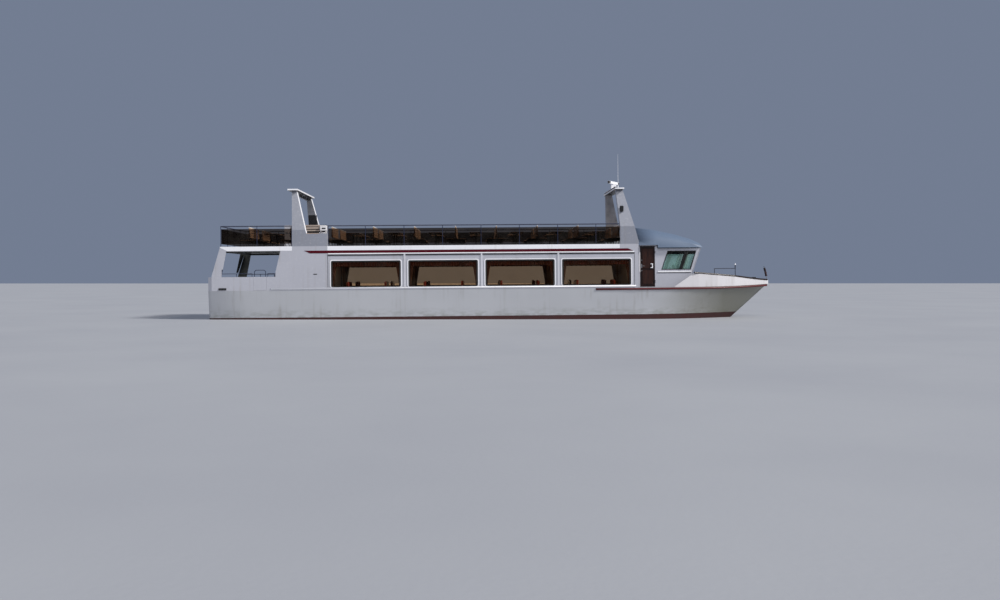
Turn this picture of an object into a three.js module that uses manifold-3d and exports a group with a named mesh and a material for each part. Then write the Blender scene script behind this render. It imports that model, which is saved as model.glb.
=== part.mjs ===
// A small double-decked passenger ferry, afloat: closed saloon, sun deck, two portal masts, wheelhouse.
// Millimetres. X runs forward from mid-length, Y to port, Z up from the waterline.
import * as THREE from "three";
import * as BufferGeometryUtils from "three/addons/utils/BufferGeometryUtils.js";
import Module from "manifold-3d";

const wasm = await Module();
wasm.setup();

// Driving dimensions
const GAP = 0.3;                 // between pieces that touch
const RUNNING_GAP = 0.5;         // round a shaft or over a hinge barrel
const STERN_X = -14140;
const SHEER = 1500;              // deck edge of the hull
const BOW_RISE = 100;            // how much the deck edge climbs to the stem
const BOW_RISE_FROM = 10000;
const DECK_END_X = 14060;
const STEM_RAKE = 1.12;          // run of the stem for each unit of height
const WALL_OUT = 2540;           // outer face of the ship's sides
const WALL = 40;
const WELL_HALF = 2360;
const WELL_AFT_X = -13970;
const SALOON_FLOOR = 900;
const AFT_FLOOR = 1100;
const SALOON_AFT_X = -8400;
const SALOON_FWD_X = 6800;
const SIDE_SPLIT_X = -8340;      // seam between the aft side plate and the saloon side
const SALOON_END_X = 6900;
const DECK_UNDER = 3440;
const DECK_TOP = 3540;
const DECK_EDGE = 3650;
const UPPER_DECK_AFT_X = -13540;
const UPPER_DECK_FWD_X = 6930;
const DECK_TAPER = { x: -13180, z: 3610 };  // the deck's aft end is undercut from here
const RAIL_Z = 4640;
const RAIL_Y = 2500;
const RAIL_R = 25;
const POST_R = 15;
const ARCH_ROOF_Z = 6400;

const THROUGH = 50;              // how far a cutting shape runs past the wall it cuts

const SIDES = [
  { name: "starboard", sign: -1 },
  { name: "port", sign: 1 },
];

const COLOURS = {
  white: [0xd9dadb, 0.45, 0.0],
  hullWhite: [0xd2d4d6, 0.42, 0.0],
  crimson: [0x6e1620, 0.45, 0.0],
  darkRed: [0x4a1216, 0.55, 0.0],
  navy: [0x23283a, 0.4, 0.2],
  screen: [0x17130f, 0.8, 0.0],
  glass: [0x3a2418, 0.08, 0.0],
  greenGlass: [0x2a3a34, 0.08, 0.0],
  roof: [0x71808f, 0.4, 0.0],
  door: [0x3c1a14, 0.5, 0.0],
  deckGrey: [0x6b6f70, 0.8, 0.0],
  tan: [0xb58a6c, 0.7, 0.0],
  interior: [0x5a2018, 0.8, 0.0],
  steel: [0x8a8d90, 0.35, 0.9],
  bronze: [0xa57b3a, 0.35, 0.9],
  black: [0x141414, 0.5, 0.0],
};

const ferry = new THREE.Group();
ferry.name = "passenger_ferry";

// Shapes and booleans
function toSolid(geometry) {
  const bare = geometry.clone();
  bare.deleteAttribute("normal");
  bare.deleteAttribute("uv");
  const merged = BufferGeometryUtils.mergeVertices(bare, 1e-3);
  const vertProperties = new Float32Array(merged.attributes.position.array);
  const triVerts = new Uint32Array(merged.index.array);
  return new wasm.Manifold(new wasm.Mesh({ numProp: 3, vertProperties, triVerts }));
}

function toGeometry(solid) {
  const mesh = solid.getMesh();
  const geometry = new THREE.BufferGeometry();
  geometry.setAttribute("position", new THREE.BufferAttribute(mesh.vertProperties, 3));
  geometry.setIndex(new THREE.BufferAttribute(mesh.triVerts, 1));
  geometry.computeVertexNormals();
  return geometry;
}

function join(solids) {
  return solids.reduce((whole, next) => whole.add(next));
}

function cut(solid, tools) {
  return tools.reduce((left, tool) => left.subtract(tool), solid);
}

function box(x0, x1, y0, y1, z0, z1) {
  const geometry = new THREE.BoxGeometry(Math.abs(x1 - x0), Math.abs(y1 - y0), Math.abs(z1 - z0));
  geometry.translate((x0 + x1) / 2, (y0 + y1) / 2, (z0 + z1) / 2);
  return toSolid(geometry);
}

// A flat outline made thick along the axis that its plane leaves out.
function plate(plane, outline, from, to) {
  const shape = outline instanceof THREE.Shape
    ? outline
    : new THREE.Shape(outline.map(([a, b]) => new THREE.Vector2(a, b)));
  const low = Math.min(from, to);
  const high = Math.max(from, to);
  const geometry = new THREE.ExtrudeGeometry(shape, {
    depth: high - low, bevelEnabled: false, curveSegments: 4,
  });
  const turn = new THREE.Matrix4();
  if (plane === "xz") {
    turn.makeBasis(new THREE.Vector3(1, 0, 0), new THREE.Vector3(0, 0, 1), new THREE.Vector3(0, -1, 0));
    geometry.applyMatrix4(turn);
    geometry.translate(0, high, 0);
  } else if (plane === "yz") {
    turn.makeBasis(new THREE.Vector3(0, 1, 0), new THREE.Vector3(0, 0, 1), new THREE.Vector3(1, 0, 0));
    geometry.applyMatrix4(turn);
    geometry.translate(low, 0, 0);
  } else {
    geometry.translate(0, 0, low);
  }
  return toSolid(geometry);
}

function roundedRectangle(a0, a1, b0, b1, r) {
  const shape = new THREE.Shape();
  shape.moveTo(a0 + r, b0);
  shape.lineTo(a1 - r, b0);
  shape.quadraticCurveTo(a1, b0, a1, b0 + r);
  shape.lineTo(a1, b1 - r);
  shape.quadraticCurveTo(a1, b1, a1 - r, b1);
  shape.lineTo(a0 + r, b1);
  shape.quadraticCurveTo(a0, b1, a0, b1 - r);
  shape.lineTo(a0, b0 + r);
  shape.quadraticCurveTo(a0, b0, a0 + r, b0);
  return shape;
}

function rod(from, to, radius, sides = 8, endRadius = radius) {
  const a = new THREE.Vector3(...from);
  const b = new THREE.Vector3(...to);
  const geometry = new THREE.CylinderGeometry(endRadius, radius, a.distanceTo(b), sides);
  const up = new THREE.Vector3(0, 1, 0);
  const turn = new THREE.Quaternion().setFromUnitVectors(up, b.clone().sub(a).normalize());
  geometry.applyQuaternion(turn);
  const middle = a.clone().add(b).multiplyScalar(0.5);
  geometry.translate(middle.x, middle.y, middle.z);
  return toSolid(geometry);
}

// Skins a row of closed sections, each a list of [x, y, z], and caps both ends.
function loft(sections, capPlane) {
  const count = sections[0].length;
  const positions = sections.flat().flat();
  const index = [];
  for (let s = 0; s < sections.length - 1; s += 1) {
    for (let p = 0; p < count; p += 1) {
      const q = (p + 1) % count;
      const a = s * count + p;
      const b = s * count + q;
      index.push(a, b, b + count);
      index.push(a, b + count, a + count);
    }
  }
  const axes = { yz: [1, 2], xy: [0, 1], xz: [0, 2] }[capPlane];
  const cap = (section, first, flip) => {
    const flat = section.map((point) => new THREE.Vector2(point[axes[0]], point[axes[1]]));
    const ccw = THREE.ShapeUtils.area(flat) > 0;
    for (const [a, b, c] of THREE.ShapeUtils.triangulateShape(flat, [])) {
      const turned = THREE.ShapeUtils.area([flat[a], flat[b], flat[c]]) > 0;
      const same = turned === ccw;
      if (same !== flip) index.push(first + a, first + b, first + c);
      else index.push(first + a, first + c, first + b);
    }
  };
  cap(sections[0], 0, true);
  cap(sections[sections.length - 1], (sections.length - 1) * count, false);
  const geometry = new THREE.BufferGeometry();
  geometry.setAttribute("position", new THREE.BufferAttribute(new Float32Array(positions), 3));
  geometry.setIndex(index);
  let volume = 0;
  for (let t = 0; t < index.length; t += 3) {
    const [a, b, c] = [0, 1, 2].map((k) => new THREE.Vector3().fromArray(positions, index[t + k] * 3));
    volume += a.dot(b.cross(c));
  }
  if (volume < 0) {
    for (let t = 0; t < index.length; t += 3) {
      const keep = index[t + 1];
      index[t + 1] = index[t + 2];
      index[t + 2] = keep;
    }
    geometry.setIndex(index);
  }
  return toSolid(geometry);
}

function place(name, solid, colour, parent = ferry) {
  const [hex, roughness, metalness] = COLOURS[colour];
  const material = new THREE.MeshStandardMaterial({ color: hex, roughness, metalness });
  const mesh = new THREE.Mesh(toGeometry(solid), material);
  mesh.name = name;
  parent.add(mesh);
}

// Hull: one decked shell with wells for the aft deck and the saloon
// Columns: x at the deck edge, half-breadth at the deck, at the waterline, keel depth,
// bilge (small is square, one is round) and rake, the share of the stem's slope.
const HULL_STATIONS = [
  { x: STERN_X, deck: 2440, water: 2240, keel: -150, bilge: 0.5, rake: 0 },
  { x: -13950, deck: 2540, water: 2320, keel: -160, bilge: 0.5, rake: 0 },
  { x: -12300, deck: 2540, water: 2430, keel: -290, bilge: 0.5, rake: 0 },
  { x: -10000, deck: 2540, water: 2480, keel: -620, bilge: 0.45, rake: 0 },
  { x: -7500, deck: 2540, water: 2500, keel: -800, bilge: 0.4, rake: 0 },
  { x: 4000, deck: 2540, water: 2500, keel: -800, bilge: 0.4, rake: 0 },
  { x: 6900, deck: 2540, water: 2370, keel: -800, bilge: 0.5, rake: 0 },
  { x: 8000, deck: 2460, water: 2190, keel: -800, bilge: 0.6, rake: 0 },
  { x: 9000, deck: 2330, water: 1910, keel: -790, bilge: 0.7, rake: 0.05 },
  { x: 10000, deck: 2120, water: 1540, keel: -770, bilge: 0.8, rake: 0.15 },
  { x: 11000, deck: 1830, water: 1130, keel: -710, bilge: 0.9, rake: 0.3 },
  { x: 12000, deck: 1410, water: 720, keel: -600, bilge: 1, rake: 0.5 },
  { x: 13000, deck: 860, water: 330, keel: -450, bilge: 1, rake: 0.75 },
  { x: 13600, deck: 470, water: 130, keel: -330, bilge: 1, rake: 0.9 },
  { x: DECK_END_X, deck: 90, water: 25, keel: -240, bilge: 1, rake: 1 },
];
const KNUCKLE_Z = 850;
const KNUCKLE_SHARE = 0.62;
const BILGE_STEPS = 6;

function sheerAt(x) {
  const share = Math.max(0, x - BOW_RISE_FROM) / (DECK_END_X - BOW_RISE_FROM);
  return SHEER + BOW_RISE * share * share;
}

function hullHalfSection(station) {
  const sheer = sheerAt(station.x);
  const shift = (z) => station.rake * STEM_RAKE * (z - sheer);
  const knuckle = station.water + KNUCKLE_SHARE * (station.deck - station.water);
  const points = [
    [station.x, station.deck, sheer],
    [station.x + shift(KNUCKLE_Z), knuckle, KNUCKLE_Z],
  ];
  for (let step = 0; step <= BILGE_STEPS; step += 1) {
    const angle = (step / BILGE_STEPS) * Math.PI / 2;
    const z = station.keel * Math.sin(angle) ** station.bilge;
    const y = step === BILGE_STEPS ? 0 : station.water * Math.cos(angle) ** station.bilge;
    points.push([station.x + shift(z), y, z]);
  }
  return points;
}

function hullSection(station) {
  const port = hullHalfSection(station);
  const starboard = port.slice(0, -1).map(([x, y, z]) => [x, -y, z]).reverse();
  return [...port, ...starboard];
}

const SHAFT_Z = -720;
const SHAFT_R = 40;
const SHAFT_SIDES = 24;
const BORE_R = (SHAFT_R + RUNNING_GAP) / Math.cos(Math.PI / SHAFT_SIDES);
const BORE_END_X = -11700;
const STERN_TUBE = { aft: -12350, fwd: -11000, r: 105 };
const RUDDER_X = -13200;
const RUDDER_BORE_TOP = 300;
const KEEL_FOOT = -1180;
const SKEG_HALF = 70;
const SKEG_OUTLINE = [
  [-12150, -250], [-12150, KEEL_FOOT], [-7900, KEEL_FOOT], [-6300, -700], [-6300, -500], [-9000, -500],
];
const SHOE = { aft: -13450, fwd: -12000, half: 50, top: -1120 };
const ABOVE_SHEER = 2000;
const hullSkin = loft(HULL_STATIONS.map(hullSection), "yz");
const skeg = plate("xz", SKEG_OUTLINE, -SKEG_HALF, SKEG_HALF);
const shoe = box(SHOE.aft, SHOE.fwd, -SHOE.half, SHOE.half, KEEL_FOOT, SHOE.top);
const sternTube = rod([STERN_TUBE.aft, 0, SHAFT_Z], [STERN_TUBE.fwd, 0, SHAFT_Z], STERN_TUBE.r, 16);
const hull = cut(join([hullSkin, skeg, shoe, sternTube]), [
  box(WELL_AFT_X, SALOON_AFT_X, -WELL_HALF, WELL_HALF, AFT_FLOOR, ABOVE_SHEER),
  box(SALOON_AFT_X - 1, SALOON_FWD_X, -WELL_HALF, WELL_HALF, SALOON_FLOOR, ABOVE_SHEER),
  rod([STERN_TUBE.aft - 10, 0, SHAFT_Z], [BORE_END_X, 0, SHAFT_Z], BORE_R, SHAFT_SIDES),
  rod([RUDDER_X, 0, SHAFT_Z], [RUDDER_X, 0, RUDDER_BORE_TOP], BORE_R, SHAFT_SIDES),
]);
place("hull", hull, "hullWhite");

// Bow bulwark: a bent plate on the deck edge
// Columns: place along the ship and the height of the bulwark's top there.
const BULWARK_T = 50;
const BULWARK_FLARE = 0.06;
const STEM_HEAD = { x: 14160, z: 1795, inset: 20 };
const BOW_BULWARK = [
  { x: 8750, top: 1530 }, { x: 9000, top: 1695 }, { x: 9750, top: 2190 }, { x: 10000, top: 2170 },
  { x: 11000, top: 2090 }, { x: 12000, top: 2010 }, { x: 13000, top: 1890 }, { x: 13600, top: 1830 },
  { x: DECK_END_X, top: 1800 },
];

// The deck edge between two hull stations is straight, in plan and in height.
function deckEdgeAt(x) {
  const after = HULL_STATIONS.findIndex((station) => station.x >= x);
  const b = HULL_STATIONS[after];
  const a = HULL_STATIONS[Math.max(0, after - 1)];
  const share = b.x === a.x ? 0 : (x - a.x) / (b.x - a.x);
  return {
    half: a.deck + share * (b.deck - a.deck),
    z: sheerAt(a.x) + share * (sheerAt(b.x) - sheerAt(a.x)),
  };
}

function bulwarkSection({ x, top }, sign) {
  const foot = deckEdgeAt(x).z + GAP;
  const edge = deckEdgeAt(x).half;
  const flare = (top - foot) * BULWARK_FLARE;
  const inner = Math.max(edge - BULWARK_T, STEM_HEAD.inset);
  return [[x, sign * edge, foot], [x, sign * (edge + flare), top],
    [x, sign * (inner + flare), top], [x, sign * inner, foot]];
}
const headFoot = sheerAt(DECK_END_X) + GAP;
const bowHead = [
  [STEM_HEAD.x - 10, 0, headFoot], [STEM_HEAD.x, 0, STEM_HEAD.z],
  [DECK_END_X, 0, STEM_HEAD.z], [DECK_END_X - STEM_HEAD.inset, 0, headFoot],
];
const bulwarkStarboard = BOW_BULWARK.map((row) => bulwarkSection(row, -1));
const bulwarkPort = BOW_BULWARK.map((row) => bulwarkSection(row, 1)).reverse();
place("bow_bulwark", loft([...bulwarkStarboard, bowHead, ...bulwarkPort], "yz"), "white");

// Stern bulwark across the transom, and the plates of the aft sides with their opening
const BULWARK_TOP = 2170;
const STERN_SIDE_X = -13950;
const TRANSOM_HALF = 2440;
const transomInner = TRANSOM_HALF - WALL / 2;
const sternFwd = STERN_SIDE_X - GAP;
place("stern_bulwark", plate("xy", [
  [sternFwd, -WALL_OUT], [STERN_X, -TRANSOM_HALF], [STERN_X, TRANSOM_HALF], [sternFwd, WALL_OUT],
  [sternFwd, WALL_OUT - WALL], [STERN_X + WALL, transomInner], [STERN_X + WALL, -transomInner],
  [sternFwd, -WALL_OUT + WALL],
], SHEER + GAP, BULWARK_TOP), "white");

const GATE = { x0: -11925, x1: -11295, foot: SHEER + 8, play: 5 };
const AFT_SIDE_OUTLINE = [
  [STERN_SIDE_X, SHEER + GAP], [SIDE_SPLIT_X - GAP, SHEER + GAP], [SIDE_SPLIT_X - GAP, DECK_UNDER - GAP],
  [DECK_TAPER.x, DECK_UNDER - GAP], [UPPER_DECK_AFT_X, DECK_TAPER.z - 2 * GAP], [STERN_SIDE_X, 2230],
];
const AFT_OPENING = [[-13485, 2175], [-10907, 2175], [-10620, 3420], [-13240, 3420]];

// Steel tubes over the bulwark: columns are where each tube starts and ends and where its posts stand.
const LOW_RAIL = { z: 2330, r: 14, foot: 2150 };
const LOW_RAIL_RUNS = [
  { from: -13475, to: -11985, posts: [-12750, -12000] },
  { from: -11250, to: -10860, posts: [-11235] },
];
const HOOP = { x0: -11880, x1: -11340, top: 2500, corner: 70, r: 16 };

// Hinges: a barrel on the leaf stands between two lugs of the frame.
// u runs along the leaf from the axis, v from the axis to the wall's face.
const HINGE_OFFSET = 22;
const HINGE_ROOT = HINGE_OFFSET + 5;   // how far a strap sinks into its wall
const BARREL_R = 12;
const BARREL_H = 80;
const LUG_H = 12;
const STRAP_HALF = 36;                 // half the height of the leaf's strap
const STRAP_T = 6;                     // half its thickness
const STRAP_END = 60;
const LUG_END = 50;

function hingePiece(hinge, u0, u1, v0, v1, z0, z1) {
  const x = (u) => hinge.x + hinge.along * u;
  const y = (v) => hinge.face + hinge.out * (HINGE_OFFSET - v);
  return box(x(u0), x(u1), y(v0), y(v1), z0, z1);
}

function hingeBarrels(hinge) {
  const y = hinge.face + hinge.out * HINGE_OFFSET;
  return hinge.heights.flatMap((z) => [
    rod([hinge.x, y, z - BARREL_H / 2], [hinge.x, y, z + BARREL_H / 2], BARREL_R, 12),
    hingePiece(hinge, 0, 20, -STRAP_T, STRAP_T, z - STRAP_HALF, z + STRAP_HALF),
    hingePiece(hinge, 8, STRAP_END, -STRAP_T, HINGE_ROOT, z - STRAP_HALF, z + STRAP_HALF),
  ]);
}

function hingeLugs(hinge) {
  const y = hinge.face + hinge.out * HINGE_OFFSET;
  return hinge.heights.flatMap((z) => [-1, 1].flatMap((end) => {
    const near = z + end * (BARREL_H / 2 + RUNNING_GAP);
    const far = near + end * LUG_H;
    return [
      rod([hinge.x, y, Math.min(near, far)], [hinge.x, y, Math.max(near, far)], BARREL_R, 12),
      hingePiece(hinge, -LUG_END, -6, -8, HINGE_ROOT, near, far),
      hingePiece(hinge, -20, 0, -8, 8, near, far),
    ];
  }));
}

for (const { name, sign } of SIDES) {
  const hinge = {
    x: GATE.x1, along: -1, face: sign * (WALL_OUT - WALL), out: -sign, heights: [1640, 2040],
  };
  const outer = sign * WALL_OUT;
  const inner = sign * (WALL_OUT - WALL);
  const side = cut(plate("xz", AFT_SIDE_OUTLINE, inner, outer), [
    plate("xz", AFT_OPENING, inner - sign * THROUGH, outer + sign * THROUGH),
    box(GATE.x0, GATE.x1, inner - sign * THROUGH, outer + sign * THROUGH, SHEER - THROUGH,
      BULWARK_TOP + THROUGH),
  ]);
  const y = sign * (WALL_OUT - WALL / 2);
  const tubes = LOW_RAIL_RUNS.flatMap((run) => [
    rod([run.from, y, LOW_RAIL.z], [run.to, y, LOW_RAIL.z], LOW_RAIL.r),
    ...run.posts.map((x) => rod([x, y, LOW_RAIL.foot], [x, y, LOW_RAIL.z], LOW_RAIL.r)),
  ]);
  place(`aft_side_${name}`, join([side, ...tubes, ...hingeLugs(hinge)]), "white");

  const leaf = box(GATE.x0 + GATE.play, GATE.x1 - GATE.play, inner, outer, GATE.foot, BULWARK_TOP);
  const hoopPath = [
    [HOOP.x0, BULWARK_TOP - HOOP.corner], [HOOP.x0, HOOP.top - HOOP.corner],
    [HOOP.x0 + HOOP.corner, HOOP.top], [HOOP.x1 - HOOP.corner, HOOP.top],
    [HOOP.x1, HOOP.top - HOOP.corner], [HOOP.x1, BULWARK_TOP - HOOP.corner],
  ].map(([x, z]) => [x, y, z]);
  const hoop = hoopPath.slice(1).flatMap((to, n) => {
    const elbow = new THREE.SphereGeometry(HOOP.r, 8, 6);
    elbow.translate(...to);
    const run = rod(hoopPath[n], to, HOOP.r);
    return n < hoopPath.length - 2 ? [run, toSolid(elbow)] : [run];
  });
  place(`bulwark_gate_${name}`, join([leaf, ...hoop, ...hingeBarrels(hinge)]), "white");
}

// Saloon sides with four windows each, and the panes that fill them
const WINDOW = { first: -8130, pitch: 3770, width: 3330, sill: 1635, head: 2895, corner: 60 };
const PANE_T = 8;
const PANE_INSET = 6;
const PANE_BACK = { aft: -8300, fwd: 6700, lap: 60 };  // the glazing behind the windows
const windowStarts = [0, 1, 2, 3].map((n) => WINDOW.first + n * WINDOW.pitch);

for (const { name, sign } of SIDES) {
  const outer = sign * WALL_OUT;
  const inner = sign * (WALL_OUT - WALL);
  const cuts = windowStarts.map((x) => plate("xz",
    roundedRectangle(x, x + WINDOW.width, WINDOW.sill, WINDOW.head, WINDOW.corner),
    inner - sign * THROUGH, outer + sign * THROUGH));
  const wall = box(SIDE_SPLIT_X, SALOON_END_X, inner, outer, SHEER + GAP, DECK_UNDER - GAP);
  place(`saloon_side_${name}`, cut(wall, cuts), "white");

  const backing = box(PANE_BACK.aft, PANE_BACK.fwd, inner - sign * GAP, inner - sign * (GAP + PANE_T),
    WINDOW.sill - PANE_BACK.lap, WINDOW.head + PANE_BACK.lap);
  const panes = windowStarts.map((x) => plate("xz",
    roundedRectangle(x + GAP, x + WINDOW.width - GAP, WINDOW.sill + GAP, WINDOW.head - GAP,
      WINDOW.corner),
    inner - sign * (GAP + 1), outer - sign * PANE_INSET));
  place(`saloon_glazing_${name}`, join([backing, ...panes]), "glass");
}

// Half-round mouldings under the windows, and the dark strakes along the bow
const MOULDING = { x0: -11080, x1: 6780, z0: 1540, z1: 1620, proud: 35 };
for (const { name, sign } of SIDES) {
  const middle = (MOULDING.z0 + MOULDING.z1) / 2;
  const half = (MOULDING.z1 - MOULDING.z0) / 2;
  const foot = WALL_OUT + GAP;
  const profile = [0, 1, 2, 3, 4, 5, 6].map((k) => {
    const angle = -Math.PI / 2 + (k / 6) * Math.PI;
    return [sign * (foot + MOULDING.proud * Math.cos(angle)), middle + half * Math.sin(angle)];
  });
  place(`side_moulding_${name}`, plate("yz", profile, MOULDING.x0, MOULDING.x1), "white");
}

const STRAKE = { from: 4800, below: 70, half: 48, proud: 50, sunk: 30 };
const strakeStations = [
  { x: STRAKE.from }, ...HULL_STATIONS.filter((station) => station.x > STRAKE.from + 200),
];
const starboardStrake = loft(strakeStations.map(({ x }) => {
  const z = deckEdgeAt(x).z - STRAKE.below;
  const edge = -deckEdgeAt(x).half;
  return [
    [x, edge + STRAKE.sunk, z - STRAKE.half], [x, edge - STRAKE.proud * 0.5, z - STRAKE.half],
    [x, edge - STRAKE.proud, z], [x, edge - STRAKE.proud * 0.5, z + STRAKE.half],
    [x, edge + STRAKE.sunk, z + STRAKE.half],
  ];
}), "yz");
for (const { name, sign } of SIDES) {
  const raw = sign < 0 ? starboardStrake : starboardStrake.mirror([0, 1, 0]);
  const fitted = cut(raw, [hullSkin.translate([0, sign * 0.6, 0]), hullSkin]);
  const pieces = fitted.decompose().sort((a, b) => b.volume() - a.volume());
  place(`bow_strake_${name}`, pieces[0], "crimson");
}

// Bulkheads at the saloon's ends, with the door to the aft deck
const BULKHEAD_T = 60;
const DOOR = { y0: -400, y1: 400, z0: 1125, z1: 3125, t: 45, play: 5 };
const aftBulkheadX = SALOON_AFT_X - BULKHEAD_T;
const saloonHinge = {
  x: DOOR.y0, along: 1, face: 0, out: 1, heights: [1500, 2750],
};
const bulkheadFoot = WELL_HALF - GAP;
const bulkheadHalf = WALL_OUT - WALL - GAP;
const bulkheadKnee = SHEER + GAP;
const aftBulkheadFlat = cut(plate("xz", [
  [-bulkheadFoot, AFT_FLOOR + GAP], [bulkheadFoot, AFT_FLOOR + GAP], [bulkheadFoot, bulkheadKnee],
  [bulkheadHalf, bulkheadKnee], [bulkheadHalf, DECK_UNDER - GAP],
  [-bulkheadHalf, DECK_UNDER - GAP], [-bulkheadHalf, bulkheadKnee], [-bulkheadFoot, bulkheadKnee],
], -BULKHEAD_T, 0), [
  box(DOOR.y0, DOOR.y1, -BULKHEAD_T - THROUGH, THROUGH, DOOR.z0, DOOR.z1),
]);
const bulkheadFrame = new THREE.Group();
bulkheadFrame.position.set(aftBulkheadX, 0, 0);
bulkheadFrame.rotation.z = Math.PI / 2;
ferry.add(bulkheadFrame);
place("saloon_aft_bulkhead", join([aftBulkheadFlat, ...hingeLugs(saloonHinge)]), "white",
  bulkheadFrame);
place("saloon_door", join([
  box(DOOR.y0 + DOOR.play, DOOR.y1 - DOOR.play, -DOOR.t, 0, DOOR.z0 + DOOR.play, DOOR.z1 - DOOR.play),
  ...hingeBarrels(saloonHinge),
]), "door", bulkheadFrame);
place("saloon_front_bulkhead", box(SALOON_END_X - BULKHEAD_T - 5, SALOON_END_X, -WALL_OUT + WALL + GAP,
  WALL_OUT - WALL - GAP, SHEER + GAP, DECK_UNDER - GAP), "white");

// Saloon seating: a table between two benches at each window, screwed to thin floor strips
const STRIP = { t: 12, half: 40, in: 30, sunk: 4 };
const SALOON_SET = {
  y0: 1050, y1: 2330, table: 1650, tableT: 30, tableHalf: 320, stem: 50, stemY: 1550,
  seat: 1360, back: 1900, front: 520, rear: 980, backT: 60,
};
const SEAT_BAYS = windowStarts.map((x) => x + WINDOW.width / 2);
const seatFoot = SALOON_FLOOR + GAP;
const stripTop = seatFoot + STRIP.t;
const stripEnd = SALOON_SET.y1 - STRIP.in - STRIP.half;
const firstBay = SEAT_BAYS[0];
const lastBay = SEAT_BAYS[SEAT_BAYS.length - 1];
const saloonPieces = [
  box(firstBay - STRIP.half, firstBay + STRIP.half, -stripEnd, stripEnd, seatFoot, stripTop),
];
for (const { sign } of SIDES) {
  const y0 = sign * SALOON_SET.y0;
  const y1 = sign * SALOON_SET.y1;
  const stemY = sign * SALOON_SET.stemY;
  saloonPieces.push(box(firstBay - SALOON_SET.rear + STRIP.in, lastBay + SALOON_SET.rear - STRIP.in,
    y1 - sign * (STRIP.in + 2 * STRIP.half), y1 - sign * STRIP.in, seatFoot, stripTop));
  for (const x of SEAT_BAYS) {
    saloonPieces.push(box(x - SALOON_SET.tableHalf, x + SALOON_SET.tableHalf, y0, y1,
      SALOON_SET.table - SALOON_SET.tableT, SALOON_SET.table));
    saloonPieces.push(box(x - SALOON_SET.stem, x + SALOON_SET.stem, stemY - SALOON_SET.stem,
      stemY + SALOON_SET.stem, seatFoot + STRIP.sunk, SALOON_SET.table - 10));
    saloonPieces.push(box(x - STRIP.half, x + STRIP.half, stemY, sign * stripEnd, seatFoot, stripTop));
    for (const end of [-1, 1]) {
      const rear = x + end * SALOON_SET.rear;
      saloonPieces.push(box(x + end * SALOON_SET.front, rear, y0, y1, seatFoot + STRIP.sunk,
        SALOON_SET.seat));
      saloonPieces.push(box(rear - end * SALOON_SET.backT, rear + end * STRIP.sunk, y0, y1,
        seatFoot + STRIP.t, SALOON_SET.back));
    }
  }
}
place("saloon_seating", join(saloonPieces), "interior");

// Upper deck: a plate with a raised edge, undercut at its aft end, open over the companionway
const STAIR = { x0: -11250, x1: -8950, y0: 850, y1: 1650, steps: 11 };
const HATCH_AFT_X = STAIR.x0 + 150;
const EDGE_T = 80;
place("upper_deck", cut(box(UPPER_DECK_AFT_X, UPPER_DECK_FWD_X, -WALL_OUT, WALL_OUT, DECK_UNDER,
  DECK_EDGE), [
  box(UPPER_DECK_AFT_X + EDGE_T, UPPER_DECK_FWD_X - EDGE_T, -WALL_OUT + EDGE_T, WALL_OUT - EDGE_T,
    DECK_TOP, DECK_EDGE + THROUGH),
  box(HATCH_AFT_X, STAIR.x1, STAIR.y0, STAIR.y1, DECK_UNDER - THROUGH, DECK_TOP + THROUGH),
  plate("xz", [
    [DECK_TAPER.x, DECK_UNDER], [UPPER_DECK_AFT_X, DECK_TAPER.z], [UPPER_DECK_AFT_X - THROUGH, DECK_TAPER.z],
    [UPPER_DECK_AFT_X - THROUGH, DECK_UNDER - THROUGH], [DECK_TAPER.x, DECK_UNDER - THROUGH],
  ], -WALL_OUT - THROUGH, WALL_OUT + THROUGH),
]), "white");

// Crimson stripe on each side, pointed at both ends
const STRIPE_T = 10;
const STRIPE_OUTLINE = [[-9455, 3430], [-9180, 3300], [6380, 3300], [6665, 3318], [6400, 3430]];
for (const { name, sign } of SIDES) {
  const face = sign * (WALL_OUT + GAP);
  place(`side_stripe_${name}`, plate("xz", STRIPE_OUTLINE, face, face + sign * STRIPE_T), "crimson");
}

// Portal arches: each leg stands on the deck edge as a plate, becomes a box section, leans inward
// above its seam and carries a flat roof
const LEG_T = 80;
const ARCH_ROOF_T = 70;
const LEG_LAP = 10;              // how far the plate runs up into the box section
// Columns: plate is the lower outline in x and z; the box section has its depth and, at each level,
// its x range and how far its outer face lies from the middle; roof is its x range and half-width.
const ARCHES = [
  {
    name: "aft_arch",
    plate: [[-10045, DECK_EDGE + GAP], [-8325, DECK_EDGE + GAP], [-8325, 4260], [-9345, 4260]],
    depth: 320,
    levels: [
      { z: 4315, aft: -10045, fwd: -9362, out: WALL_OUT },
      { z: 4450, aft: -10045, fwd: -9402, out: WALL_OUT },
      { z: ARCH_ROOF_Z - GAP, aft: -10106, fwd: -9881, out: 2160 },
    ],
    roof: { aft: -10282, fwd: -9785, half: 2380 },
  },
  {
    name: "forward_arch",
    plate: [[6030, DECK_EDGE + GAP], [UPPER_DECK_FWD_X, DECK_EDGE + GAP], [6960, 3700]],
    depth: 220,
    levels: [
      { z: 4315, aft: 6030, fwd: 6794, out: WALL_OUT },
      { z: 4520, aft: 6030, fwd: 6739, out: WALL_OUT },
      { z: ARCH_ROOF_Z - GAP, aft: 5910, fwd: 6262, out: 1880 },
    ],
    roof: { aft: 5867, fwd: 6314, half: 2100 },
  },
];
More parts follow.
